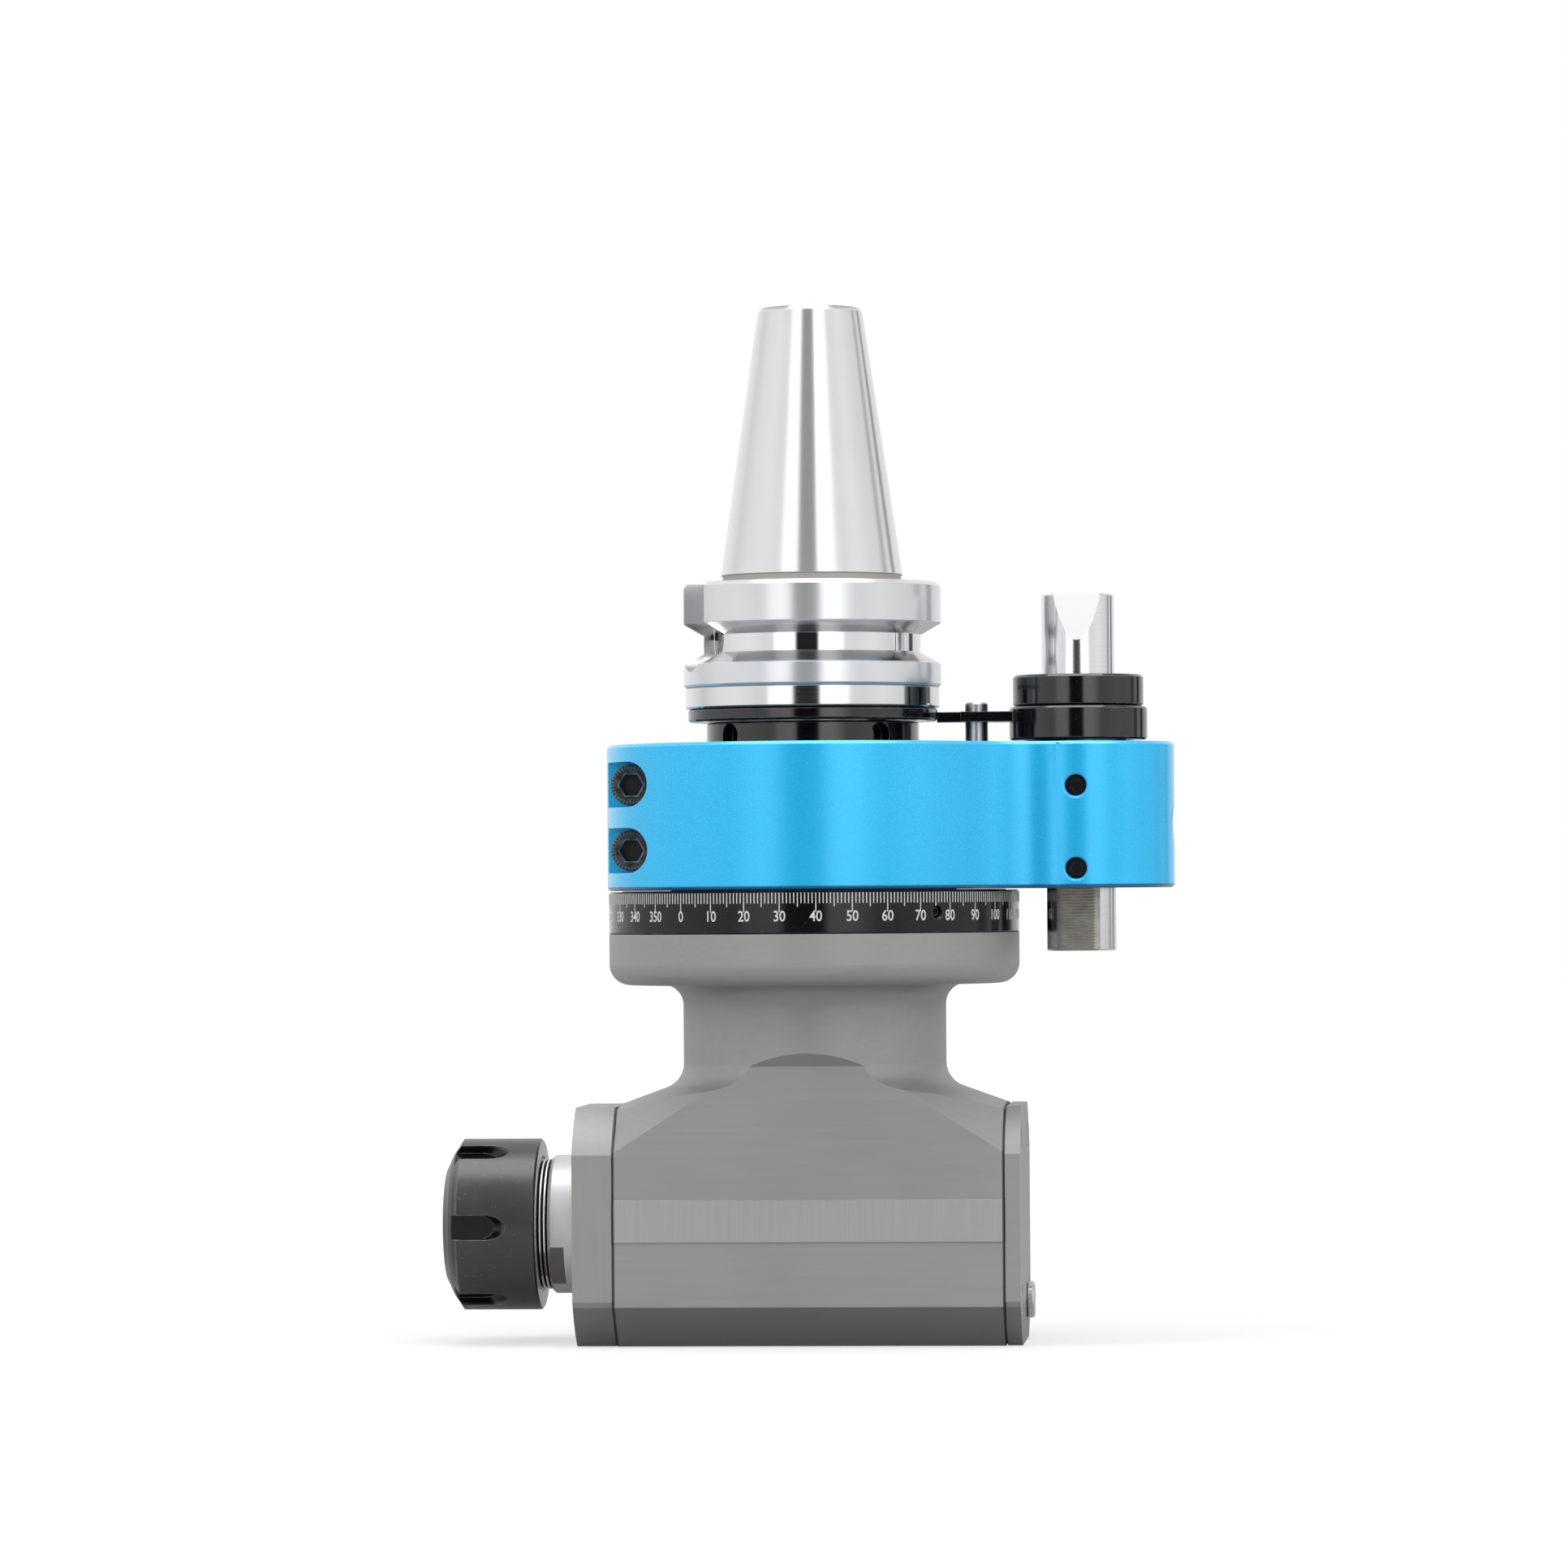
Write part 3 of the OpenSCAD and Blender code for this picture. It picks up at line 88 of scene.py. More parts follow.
class Signal:
    """A socket in a material. Plain arithmetic on it adds Math nodes."""

    def __init__(self, tree, socket):
        self.tree = tree
        self.socket = socket

    def maths(self, operation, *values, clamp=False):
        return add_node(self.tree, "ShaderNodeMath",
                        {"operation": operation, "use_clamp": clamp}, dict(enumerate(values)))

    def __add__(self, other):
        return self.maths("ADD", self, other)

    def __radd__(self, other):
        return self.maths("ADD", other, self)

    def __sub__(self, other):
        return self.maths("SUBTRACT", self, other)

    def __rsub__(self, other):
        return self.maths("SUBTRACT", other, self)

    def __mul__(self, other):
        return self.maths("MULTIPLY", self, other)

    def __rmul__(self, other):
        return self.maths("MULTIPLY", other, self)

    def absolute(self):
        return self.maths("ABSOLUTE", self)

    def root(self):
        return self.maths("SQRT", self)

    def sine(self):
        return self.maths("SINE", self)

    def larger(self, other):
        return self.maths("MAXIMUM", self, other)

    def smaller(self, other):
        return self.maths("MINIMUM", self, other)

    def angle_from(self, other):
        """The angle whose tangent is this value over the other."""
        return self.maths("ARCTAN2", self, other)

    def over(self, edge, softness):
        """0 below the edge and 1 above it, with a soft step."""
        return self.maths("MULTIPLY_ADD", self, 1 / softness, 0.5 - edge / softness, clamp=True)

    def between(self, low, high, softness):
        """1 from low to high and 0 outside."""
        return self.over(low, softness) * (1 - self.over(high, softness))


def add_node(tree, kind, settings=None, inputs=None, output=0):
    """Adds a node, first its settings and then the values or links of its sockets."""
    made = tree.nodes.new(kind)
    for name, value in (settings or {}).items():
        if name == "stops":
            set_stops(made.color_ramp, value)
        else:
            setattr(made, name, value)
    for name, value in (inputs or {}).items():
        if isinstance(value, Signal):
            tree.links.new(value.socket, made.inputs[name])
        else:
            made.inputs[name].default_value = value
    return Signal(tree, made.outputs[output]) if len(made.outputs) else None


def set_stops(ramp, stops):
    """Gives a ramp its grey stops, each a position and a value from 0 to 1."""
    while len(ramp.elements) > 1:
        ramp.elements.remove(ramp.elements[-1])
    ramp.elements[0].position = stops[0][0]
    for position, _ in stops[1:]:
        ramp.elements.new(position)
    for element, (position, value) in zip(ramp.elements, stops):
        element.position = position
        element.color = (value, value, value, 1)


def coordinates(vector):
    """The three coordinates of a vector."""
    split = vector.tree.nodes.new("ShaderNodeSeparateXYZ")
    vector.tree.links.new(vector.socket, split.inputs[0])
    return [Signal(vector.tree, socket) for socket in split.outputs]


def distance_from_axis(across, up):
    """How far a place is from an axis, by its two coordinates square to that axis."""
    return (across * across + up * up).root()


def rgba(colour):
    return (*colour, 1) if len(colour) == 3 else colour


BEVEL_SAMPLES = 4


class Finish:
    """A material with its Principled shader, and the place on the object in millimetres."""

    def __init__(self, name, colour, roughness, metallic, **fixed):
        self.material = bpy.data.materials.new(name)
        self.material.use_nodes = True
        self.tree = self.material.node_tree
        self.shader = self.tree.nodes["Principled BSDF"]
        self.shader.inputs["Base Color"].default_value = rgba(colour)
        self.shader.inputs["Roughness"].default_value = roughness
        self.shader.inputs["Metallic"].default_value = metallic
        for socket, value in fixed.items():
            self.shader.inputs[socket.replace("_", " ")].default_value = value
        self.place = self.node("ShaderNodeTexCoord", output="Object")
        self.x, self.y, self.z = (part * (1 / MM) for part in coordinates(self.place))

    def node(self, kind, settings=None, inputs=None, output=0):
        return add_node(self.tree, kind, settings, inputs, output)

    def noise(self, scale, detail=3, rough=0.55, vector=None):
        return self.node("ShaderNodeTexNoise", {},
                         {"Vector": vector or self.place, "Scale": scale, "Detail": detail,
                          "Roughness": rough})

    def streaks(self, scale, detail=3):
        """Noise drawn out by a scale for each axis: fine across a streak, coarse along it."""
        stretched = self.node("ShaderNodeMapping", {}, {"Vector": self.place, "Scale": scale})
        return self.noise(1.0, detail, 0.6, stretched)

    def mix(self, factor, first, second):
        """Colours blended by a factor from 0 to 1."""
        sides = {6: first, 7: second}
        for key, value in sides.items():
            if not isinstance(value, Signal):
                sides[key] = rgba(value)
        return self.node("ShaderNodeMix", {"data_type": "RGBA"}, {0: factor, **sides}, output=2)

    def facing(self, direction):
        """1 where the surface faces a direction, 0 where it stands along it."""
        normal = self.node("ShaderNodeNewGeometry", output="Normal")
        return self.node("ShaderNodeVectorMath", {"operation": "DOT_PRODUCT"},
                         {0: normal, 1: direction}, output="Value")

    def rounded_normal(self, radius):
        """The normal that the surface would have with its edges rounded."""
        return self.node("ShaderNodeBevel", {"samples": BEVEL_SAMPLES}, {"Radius": radius * MM})

    def edges(self, radius):
        """1 on sharp edges, 0 on open faces."""
        return (1 - self.facing(self.rounded_normal(radius))).over(0.1, 0.16)

    def paint(self, colour=None, roughness=None, metallic=None, height=None, depth=0.02,
              soft_edge=0):
        """Links what changes over the surface to the shader."""
        for socket, value in (("Base Color", colour), ("Roughness", roughness),
                              ("Metallic", metallic)):
            if value is not None:
                self.tree.links.new(value.socket, self.shader.inputs[socket])
        normal = self.rounded_normal(soft_edge) if soft_edge else None
        if height is not None:
            inputs = {"Height": height, "Distance": depth * MM, "Strength": 1.0}
            if normal:
                inputs["Normal"] = normal
            normal = self.node("ShaderNodeBump", {}, inputs)
        if normal:
            self.tree.links.new(normal.socket, self.shader.inputs["Normal"])
        return self.material


# Where the finishes change on the pieces: lengths in millimetres, angles in degrees

# The block of the housing
BLOCK_HALF_W = 29
BLOCK_HALF_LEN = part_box("rear_cover")[0].x / MM
BLOCK_CHAMFER = 9.9
BLOCK_TOP = 70
BAND_LOW = 25.65
BAND_HIGH = 35.85

# The input spindle, from its taper's gauge plane
TAPER_LEN = 65.4
SHANK_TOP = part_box("input_spindle")[1].z / MM
SHANK_RIM = SHANK_TOP - 0.8
GAUGE_Z = SHANK_TOP - TAPER_LEN
NECK_FOOT = GAUGE_Z - 2.3
NECK_R = 23.5
GROOVE_LOW = GAUGE_Z - 21.9
GROOVE_HIGH = GAUGE_Z - 11.7
GROOVE_R = 31.0
GROOVE_FLOOR_R = 26.9
KEYWAY_FOOT = 163.5
KEYWAY_FLOOR_R = 23.2

# The collet nut and the output spindle's nose behind it
NUT_LOW, NUT_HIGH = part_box("collet_nut")
NUT_FRONT = NUT_LOW.x / MM
NUT_BACK = NUT_HIGH.x / MM
NUT_R = (NUT_HIGH.y - NUT_LOW.y) / 2 / MM
OUTPUT_Z = (NUT_HIGH.z + NUT_LOW.z) / 2 / MM
SLOT_R = NUT_R - 0.7
SLOT_FRONT = NUT_FRONT + 2.6
SLOT_BACK = NUT_BACK - 0.9
BARE_BACK = NUT_BACK - 1.2
PLATE_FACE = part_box("front_plate")[0].x / MM
NOSE_LEN = 7.4
THREAD_END = PLATE_FACE - NOSE_LEN - 0.1
THREAD_R = 16.4
THREAD_GROOVE_R = 15.85
SPANNER_FLATS = 32
FLATS_R = 15.95
FLATS_TURN = 127

# The clamp screws, the torque ring and the stop pin
KNURLS = 34
KNURLED_RIM = 1.0
SOCKET_HALF_W = 2.5
LIP_HALF_W = 2.85
TORQUE_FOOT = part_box("torque_ring")[0].z / MM
SHADED_RIM_HEIGHT = 0.95
RACK_FACE = 7.3
RACK_TOP = 116
RAMP_FOOT = 170
RAMP_NORMAL = (0, -0.982, 0.187)


# Finishes

def ground_steel(name, streak_axis):
    """Fine ground steel: matt grey with faint streaks along one axis, edges painted paler as
    highlights, and painted shade low down and in the seams.
    """
    finish = Finish(name, (0.32, 0.318, 0.312), 0.45, 0.35)
    scale = [900, 900, 900]
    scale["XYZ".index(streak_axis)] = 30
    streaks = finish.streaks(scale, 4)
    clouds = finish.noise(34, 3, 0.5)
    grain = finish.noise(2600, 2, 0.5)
    tone = (streaks - 0.5) * 0.4 + (clouds - 0.5) * 0.5 + 0.5
    body = finish.mix(tone, (0.265, 0.263, 0.258), (0.378, 0.376, 0.369))
    side = finish.y.absolute()
    band = finish.z.between(BAND_LOW, BAND_HIGH, 0.05) * side.over(BLOCK_HALF_W + 0.2, 0.1)
    milled = finish.streaks((2600, 40, 40))
    raised = finish.mix(milled, (0.35, 0.348, 0.342), (0.46, 0.458, 0.452))
    with_band = finish.mix(band * 0.85, body, raised)
    # Painted shade: everything below the top of the lower chamfer is painted darker, standing in
    # for the downward chamfer in shade.
    chamfer_shade = (1 - finish.z.over(BLOCK_CHAMFER, 0.1)) * 0.55
    with_chamfer_shade = finish.mix(chamfer_shade, with_band, (0.11, 0.11, 0.107))
    # Painted highlight: the edges are painted paler.
    with_edge = finish.mix(finish.edges(0.3) * 0.4, with_chamfer_shade, (0.55, 0.55, 0.54))
    along = finish.x.absolute()
    # Painted shade: the seams where the covers meet the block are painted near black.
    seam_shade = along.between(BLOCK_HALF_LEN - 0.3, BLOCK_HALF_LEN + 0.3, 0.15)
    in_block = 1 - finish.z.over(BLOCK_TOP, 1)
    colour = finish.mix(seam_shade * in_block * 0.85, with_edge, (0.02, 0.02, 0.02))
    return finish.paint(colour, 0.40 + clouds * 0.14, None, grain * 0.4 + streaks * 0.6, 0.004,
                        soft_edge=0.2)


def turned_steel(name, shine, roughness):
    """Turned and ground steel with faint rings round an upright axis."""
    finish = Finish(name, (shine, shine, shine * 1.01), roughness, 1.0)
    rings = finish.streaks((20, 20, 5200))
    clouds = finish.noise(60, 2, 0.5)
    dull, fair = shine * 0.92, shine * 1.08
    colour = finish.mix(clouds, (dull, dull, dull * 1.01), (fair, fair, fair * 1.01))
    return finish.paint(colour, roughness * 0.6 + rings * roughness * 0.8, None, rings, 0.0012,
                        soft_edge=0.2)


def nose_steel():
    """The output spindle: ground nose with dark spanner flats and a thread painted dark in its
    roots as shade and bright on its crests as highlight.
    """
    finish = Finish("spindle_steel", (0.48, 0.48, 0.49), 0.34, 0.35)
    out = distance_from_axis(finish.y, finish.z - OUTPUT_Z)
    thread = (1 - finish.x.over(THREAD_END, 0.2)) * (1 - out.over(THREAD_R, 0.1))
    crest = out.over(THREAD_GROOVE_R, 0.25)
    rings = finish.streaks((5200, 20, 20))
    stain = finish.noise(300, 3, 0.6)
    turn = math.radians(FLATS_TURN)
    facing = finish.facing((0, -math.sin(turn), math.cos(turn)))
    depth = (finish.z - OUTPUT_Z) * math.cos(turn) - finish.y * math.sin(turn)
    flats = (facing.absolute().over(0.97, 0.02) * out.over(FLATS_R, 0.1)
             * (1 - depth.absolute().over(SPANNER_FLATS / 2 + 0.08, 0.04)))
    body = finish.mix(rings, (0.60, 0.60, 0.61), (0.72, 0.72, 0.73))
    # Painted shade and highlight: the thread roots are painted near black and the crests near
    # white.
    thread_light_and_shade = finish.mix(crest, (0.05, 0.05, 0.055), (0.95, 0.95, 0.96))
    with_thread = finish.mix(thread, body, thread_light_and_shade)
    # The spanner flats are painted darker, with a brownish mottle.
    flat_tone = finish.mix(stain, (0.10, 0.094, 0.085), (0.15, 0.142, 0.13))
    colour = finish.mix(flats * 0.9, with_thread, flat_tone)
    return finish.paint(colour, 0.3 + rings * 0.16 + flats * 0.1, 0.35 + thread * 0.65, rings,
                        0.0012, soft_edge=0.2)


def shank_steel():
    """The input spindle: mirror bright in the groove, ground on the flange, matt at the neck."""
    finish = Finish("shank_steel", (0.68, 0.68, 0.69), 0.16, 1.0)
    out = distance_from_axis(finish.x, finish.y)
    taper = finish.z.over(GAUGE_Z + 0.1, 0.2)
    neck = finish.z.between(NECK_FOOT, GAUGE_Z, 0.3) * (1 - out.over(NECK_R, 0.5))
    groove = finish.z.between(GROOVE_LOW, GROOVE_HIGH, 0.2) * (1 - out.over(GROOVE_R, 0.3))
    off_floor = out.over(GROOVE_FLOOR_R, 0.3)
    flanks = groove * off_floor
    floor = groove * (1 - off_floor)
    keyway = (1 - out.over(KEYWAY_FLOOR_R, 0.4)) * finish.z.between(KEYWAY_FOOT, NECK_FOOT, 0.2)
    rings = finish.streaks((18, 18, 6000))
    grain = finish.noise(3200, 3, 0.65)
    clouds = finish.noise(45, 2, 0.5)
    bright = finish.mix(clouds, (0.64, 0.64, 0.65), (0.73, 0.73, 0.74))
    with_neck = finish.mix(neck, bright, (0.42, 0.415, 0.40))
    brushed = finish.mix(grain, (0.40, 0.395, 0.40), (0.66, 0.65, 0.66))
    with_flanks = finish.mix(flanks * 0.7, with_neck, brushed)
    with_keyway = finish.mix(keyway * 0.4, with_flanks, (0.44, 0.44, 0.43))
    # Painted reflection: the rounded top rim is painted darker grey, standing in for a dark
    # reflection on its edge.
    rim = finish.z.over(SHANK_RIM, 0.2)
    colour = finish.mix(rim * 0.8, with_keyway, (0.34, 0.34, 0.35))
    base = 0.2 - taper * 0.05 - floor * 0.15 + neck * 0.35 - flanks * 0.04 + keyway * 0.2
    roughness = base + (rings - 0.5) * 0.05
    satin = 0.64 + groove * 0.36
    height = rings * (1 - neck) * 0.15 + grain * (neck * 6 + flanks * 1.2 + 0.25)
    return finish.paint(colour, roughness, satin, height, 0.003, soft_edge=0.25)


def black_oxide(name, roughness, gloss, wear, even=0.15):
    """Glossy blackened steel, worn bright along its edges, in patches or more evenly."""
    tint = (0.0025, 0.0025, 0.004)
    finish = Finish(name, tint, roughness, 0.0, Specular_IOR_Level=gloss,
                    Coat_Weight=0.1, Coat_Roughness=0.12)
    patches = (finish.noise(260, 3, 0.6).over(0.47, 0.15)
               * finish.noise(38, 2, 0.5).over(0.47, 0.12))
    specks = finish.noise(2400, 2, 0.5).over(0.70, 0.05)
    smear = finish.noise(90, 3, 0.55)
    worn = finish.edges(0.3) * (patches * (1 - even) + even) * wear + specks * 0.06
    colour = finish.mix(worn.smaller(1.0), tint, (0.5, 0.5, 0.49))
    return finish.paint(colour, roughness + (smear - 0.5) * 0.1 + worn * 0.2, None,
                        finish.noise(700, 3, 0.5), 0.003, soft_edge=0.25)


def cap_screw_black():
    """Blackened cap screws: grey head, painted highlights on the knurled rim and the socket's
    lip, and the socket painted near black as shade.
    """
    finish = Finish("cap_screw_black", (0.03, 0.03, 0.032), 0.34, 0.0, Specular_IOR_Level=0.5)
    low, high = (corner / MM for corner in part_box("clamp_screws"))
    head_r = (high.x - low.x) / 2
    spacing = (high.z - low.z) / 2 - head_r
    across = finish.x - (low.x + high.x) / 2
    up = (finish.z - (low.z + high.z) / 2).absolute() - spacing
    out = distance_from_axis(across, up)
    knurl = (up.angle_from(across) * KNURLS).sine().over(0.1, 0.8)
    rim = out.over(head_r - KNURLED_RIM, 0.25)
    lean = math.radians(30)
    rising = across * math.cos(lean) + up * math.sin(lean)
    falling = across * math.cos(lean) - up * math.sin(lean)
    hexagon = rising.absolute().larger(falling.absolute()).larger(up.absolute())
    socket = 1 - hexagon.over(SOCKET_HALF_W, 0.12)
    lip = hexagon.between(SOCKET_HALF_W, LIP_HALF_W, 0.12)
    scuffs = finish.noise(650, 4, 0.65).over(0.5, 0.2)
    grey = finish.mix(scuffs, (0.008, 0.008, 0.009), (0.055, 0.055, 0.057))
    # Painted highlight: the ridges of the knurled rim are painted paler.
    with_knurl_highlight = finish.mix(rim * knurl * 0.8, grey, (0.16, 0.16, 0.16))
    # Painted highlight round the socket's lip, partly even and partly following real scuffs.
    with_lip_highlight_and_scuffs = finish.mix(lip * (scuffs * 0.5 + 0.35), with_knurl_highlight, (0.25, 0.25, 0.25))
    # Painted shade: the socket is painted near black.
    colour = finish.mix(socket, with_lip_highlight_and_scuffs, (0.002, 0.002, 0.003))
    return finish.paint(colour, 0.28 + scuffs * 0.15, None, knurl * rim, 0.05, soft_edge=0.15)


def blue_anodised():
    """Satin sky-blue anodising over fine turning marks, with edges painted pale as highlights
    and the lower rim painted deep blue as shade.
    """
    finish = Finish("blue_anodised", (0.02, 0.47, 0.88), 0.3, 0.3, Specular_IOR_Level=0.6,
                    Coat_Weight=0.4, Coat_Roughness=0.2)
    rings = finish.streaks((25, 25, 3800))
    grain = finish.noise(3000, 2, 0.6)
    clouds = finish.noise(24, 2, 0.5)
    # Painted shade: the lower rim is painted deep blue.
    rim = 1 - finish.z.over(TORQUE_FOOT + SHADED_RIM_HEIGHT, 0.15)
    body = finish.mix(clouds * 0.6 + rings * 0.4, (0.006, 0.48, 0.88), (0.014, 0.56, 0.98))
    # Painted highlight: the edges are painted pale.
    with_edge = finish.mix(finish.edges(0.4) * 0.6, body, (0.52, 0.80, 0.95))
    colour = finish.mix(rim * 0.92, with_edge, (0.001, 0.085, 0.25))
    return finish.paint(colour, 0.27 + (grain - 0.5) * 0.04, None, grain * 0.2 + rings * 0.25,
                        0.003, soft_edge=0.3)


def nut_steel():
    """Blackened collet nut: charcoal with pale speckle, slots painted dark as shade and a bare
    steel back.
    """
    finish = Finish("nut_steel", (0.06, 0.059, 0.061), 0.3, 0.85)
    turned = finish.streaks((5200, 20, 20))
    clouds = finish.noise(70, 3, 0.5)
    specks = finish.noise(1900, 2, 0.5).over(0.71, 0.05)
    scratches = finish.noise(300, 4, 0.6).over(0.52, 0.12)
    out = distance_from_axis(finish.y, finish.z - OUTPUT_Z)
    slots = (1 - out.over(SLOT_R, 0.3)) * finish.x.between(SLOT_FRONT, SLOT_BACK, 0.3)
    back = finish.facing((1, 0, 0)).over(0.9, 0.1) * finish.x.over(BARE_BACK, 0.2)
    body = finish.mix(clouds, (0.062, 0.0615, 0.063), (0.098, 0.097, 0.099))
    speckled = finish.mix(specks * 0.3, body, (0.4, 0.4, 0.4))
    # Painted shade: the slots are painted near black.
    with_slot_shade = finish.mix(slots * 0.68, speckled, (0.008, 0.008, 0.009))
    worn = finish.edges(0.35) * (scratches * 0.5 + 0.3)
    with_edge = finish.mix(worn, with_slot_shade, (0.42, 0.41, 0.41))
    colour = finish.mix(back, with_edge, (0.93, 0.93, 0.93))
    return finish.paint(colour, 0.26 + clouds * 0.14 - slots * 0.1, 0.85 - back * 0.45, turned,
                        0.0012, soft_edge=0.25)


def pin_steel():
    """Ground stop pin, with an oily brown rack at its foot and a pale ramp at its top."""
    finish = Finish("pin_steel", (0.66, 0.66, 0.67), 0.14, 1.0)
    rack = (0 - finish.y).over(RACK_FACE, 0.1) * (1 - finish.z.over(RACK_TOP, 0.2))
    pale = finish.facing(RAMP_NORMAL).over(0.997, 0.003) * finish.z.over(RAMP_FOOT, 0.2)
    rings = finish.streaks((20, 20, 4200))
    stain = finish.noise(260, 3, 0.6)
    bright = finish.mix(rings, (0.67, 0.67, 0.69), (0.77, 0.77, 0.79))
    rack_colour = finish.mix(stain, (0.24, 0.225, 0.195), (0.60, 0.58, 0.53))
    with_rack = finish.mix(rack, bright, rack_colour)
    colour = finish.mix(pale * 0.9, with_rack, (0.96, 0.97, 0.96))
    return finish.paint(colour, 0.15 + rack * 0.3 + pale * 0.35, 1 - rack * 0.55, rings, 0.001,
                        soft_edge=0.15)


def seal_rubber():
    """Dark brown rubber with a fine grain."""
    finish = Finish("seal_rubber", (0.03, 0.018, 0.012), 0.55, 0.0)
    grain = finish.noise(900, 3, 0.6)
    colour = finish.mix(grain, (0.02, 0.013, 0.01), (0.06, 0.035, 0.025))
    return finish.paint(colour, 0.45 + grain * 0.2, None, grain, 0.006)


def mark_paint():
    """Pale filling of the graduations, a little worn."""
    finish = Finish("mark_paint", (0.62, 0.62, 0.6), 0.5, 0.0)
    worn = finish.noise(1500, 3, 0.6)
    colour = finish.mix(worn, (0.48, 0.48, 0.46), (0.85, 0.85, 0.83))
    return finish.paint(colour, 0.45 + worn * 0.15)


def dress(material, *names):
    for name in names:
        slots = nodes[name].data.materials
        slots.clear()
        slots.append(material)


def dress_nodes():
    dress(ground_steel("ground_steel", "X"), "housing", "rear_cover")
    dress(ground_steel("ground_plate", "Z"), "front_plate")
    dress(shank_steel(), "input_spindle")
    dress(turned_steel("ring_steel", 0.66, 0.10), "flange_ring")
    dress(turned_steel("dowel_steel", 0.42, 0.3), "guide_dowel")
    dress(nose_steel(), "output_spindle")
    dress(turned_steel("oiled_steel", 0.06, 0.35), "input_sleeve")
    dress(turned_steel("bright_steel", 0.66, 0.28), "collet", "pin_bush",
          "cover_screws", "grease_plug", "gear_washer", "pin_spring",
          "input_bevel_gear", "output_bevel_gear",
          "input_bearing_upper_outer", "input_bearing_lower_outer",
          "output_bearing_front_outer", "output_bearing_rear_outer",
          "input_bearing_upper_inner", "input_bearing_lower_inner",
          "output_bearing_front_inner", "output_bearing_rear_inner")
    dress(black_oxide("gloss_black", 0.10, 0.6, 0.9), "bearing_nut", "lock_ring", "lock_arm",
          "pin_collar")
    dress(black_oxide("ring_black", 0.12, 0.32, 0.5), "scale_ring")
    dress(cap_screw_black(), "clamp_screws")
    dress(black_oxide("screw_black", 0.26, 0.45, 0.3, even=0.7), "bush_screws", "side_screw",
          "plate_screws", "scale_screw", "sleeve_bolts", "gear_screw", "shaft_nut",
          "input_shaft_nut")
    dress(blue_anodised(), "torque_ring")
    dress(nut_steel(), "collet_nut")
    dress(pin_steel(), "stop_pin")
    dress(seal_rubber(), "input_seal", "output_seal")


dress_nodes()


# Steps by hand that the new pieces share

def select_only(obj):
    bpy.ops.object.select_all(action="DESELECT")
    obj.select_set(True)
    bpy.context.view_layer.objects.active = obj


def edit_whole(obj, operator, **settings):
    """Runs one edit mode operator on the whole of a piece's mesh."""
    select_only(obj)
    bpy.ops.object.mode_set(mode="EDIT")
    bpy.ops.mesh.select_all(action="SELECT")
    operator(**settings)
    bpy.ops.object.mode_set(mode="OBJECT")


def join(pieces, name):
    """Makes one piece of several new ones."""
    for piece in pieces:
        bpy.context.scene.collection.objects.link(piece)
    bpy.ops.object.select_all(action="DESELECT")
    for piece in pieces:
        piece.select_set(True)
    bpy.context.view_layer.objects.active = pieces[0]
    bpy.ops.object.join()
    joined = bpy.context.object
    joined.name = name
    return joined


def mesh_of(obj):
    """An object's mesh, without the object."""
    mesh = obj.data
    bpy.data.objects.remove(obj)
    return mesh


# Graduations on the degree ring, in metres, with their angles in degrees
RING_LOW, RING_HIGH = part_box("scale_ring")
RING_R = (RING_HIGH.x - RING_LOW.x) / 2
ZERO_ANGLE = 234.5
MARK_RISE = 0.02 * MM
MARK_SINK = 0.10 * MM
MARK_TOP = RING_HIGH.z - 0.45 * MM
TICK_W = 0.24 * MM
TICK_LENGTHS = {10: 4.6 * MM, 5: 3.3 * MM, 1: 2.5 * MM}
FIGURE_STEP = 10
DIGIT_H = 2.6 * MM
DIGIT_W = 1.32 * MM
DIGIT_Z = RING_LOW.z + 3.1 * MM
DIGIT_BOLD = 0.035 * MM

# The font's own figures, as shares of its size and of their height
FONT_DIGIT_H = 0.72
FONT_DIGIT_W = 0.6


def add_block(low, high):
    """A block between two corners in the plane of the marks: along the ring, outwards, up."""
    size = [b - a for a, b in zip(low, high)]
    middle = [(a + b) / 2 for a, b in zip(low, high)]
    bpy.ops.object.select_all(action="DESELECT")
    bpy.ops.mesh.primitive_cube_add(size=1, location=middle)
    block = bpy.context.object
    block.scale = size
    bpy.ops.object.transform_apply(location=True, rotation=True, scale=True)
    return block


def wrapped(mesh, angle):
    """A copy of a flat mark's mesh, bent round the ring at an angle in degrees."""
    copy = mesh.copy()
    for vertex in copy.vertices:
        along, out, up = vertex.co
        turn = math.radians(angle) + along / RING_R
        radius = RING_R + out
        vertex.co = (radius * math.cos(turn), radius * math.sin(turn), up)
    return copy


def mark_at(mesh, degree):
    """A mark at its place on the ring, counted from the ring's zero."""
    return bpy.data.objects.new("mark", wrapped(mesh, ZERO_ANGLE + degree))


def tick_mesh(length):
    """A thin flat stroke of some length, hanging from the upper line of the marks."""
    return mesh_of(add_block((-TICK_W / 2, -MARK_SINK, MARK_TOP - length),
                             (TICK_W / 2, MARK_RISE, MARK_TOP)))


def tick_length(degree):
    return next(length for step, length in TICK_LENGTHS.items() if degree % step == 0)


def add_ticks():
    meshes = {length: tick_mesh(length) for length in TICK_LENGTHS.values()}
    return join([mark_at(meshes[tick_length(degree)], degree) for degree in range(360)],
                "degree_ticks")


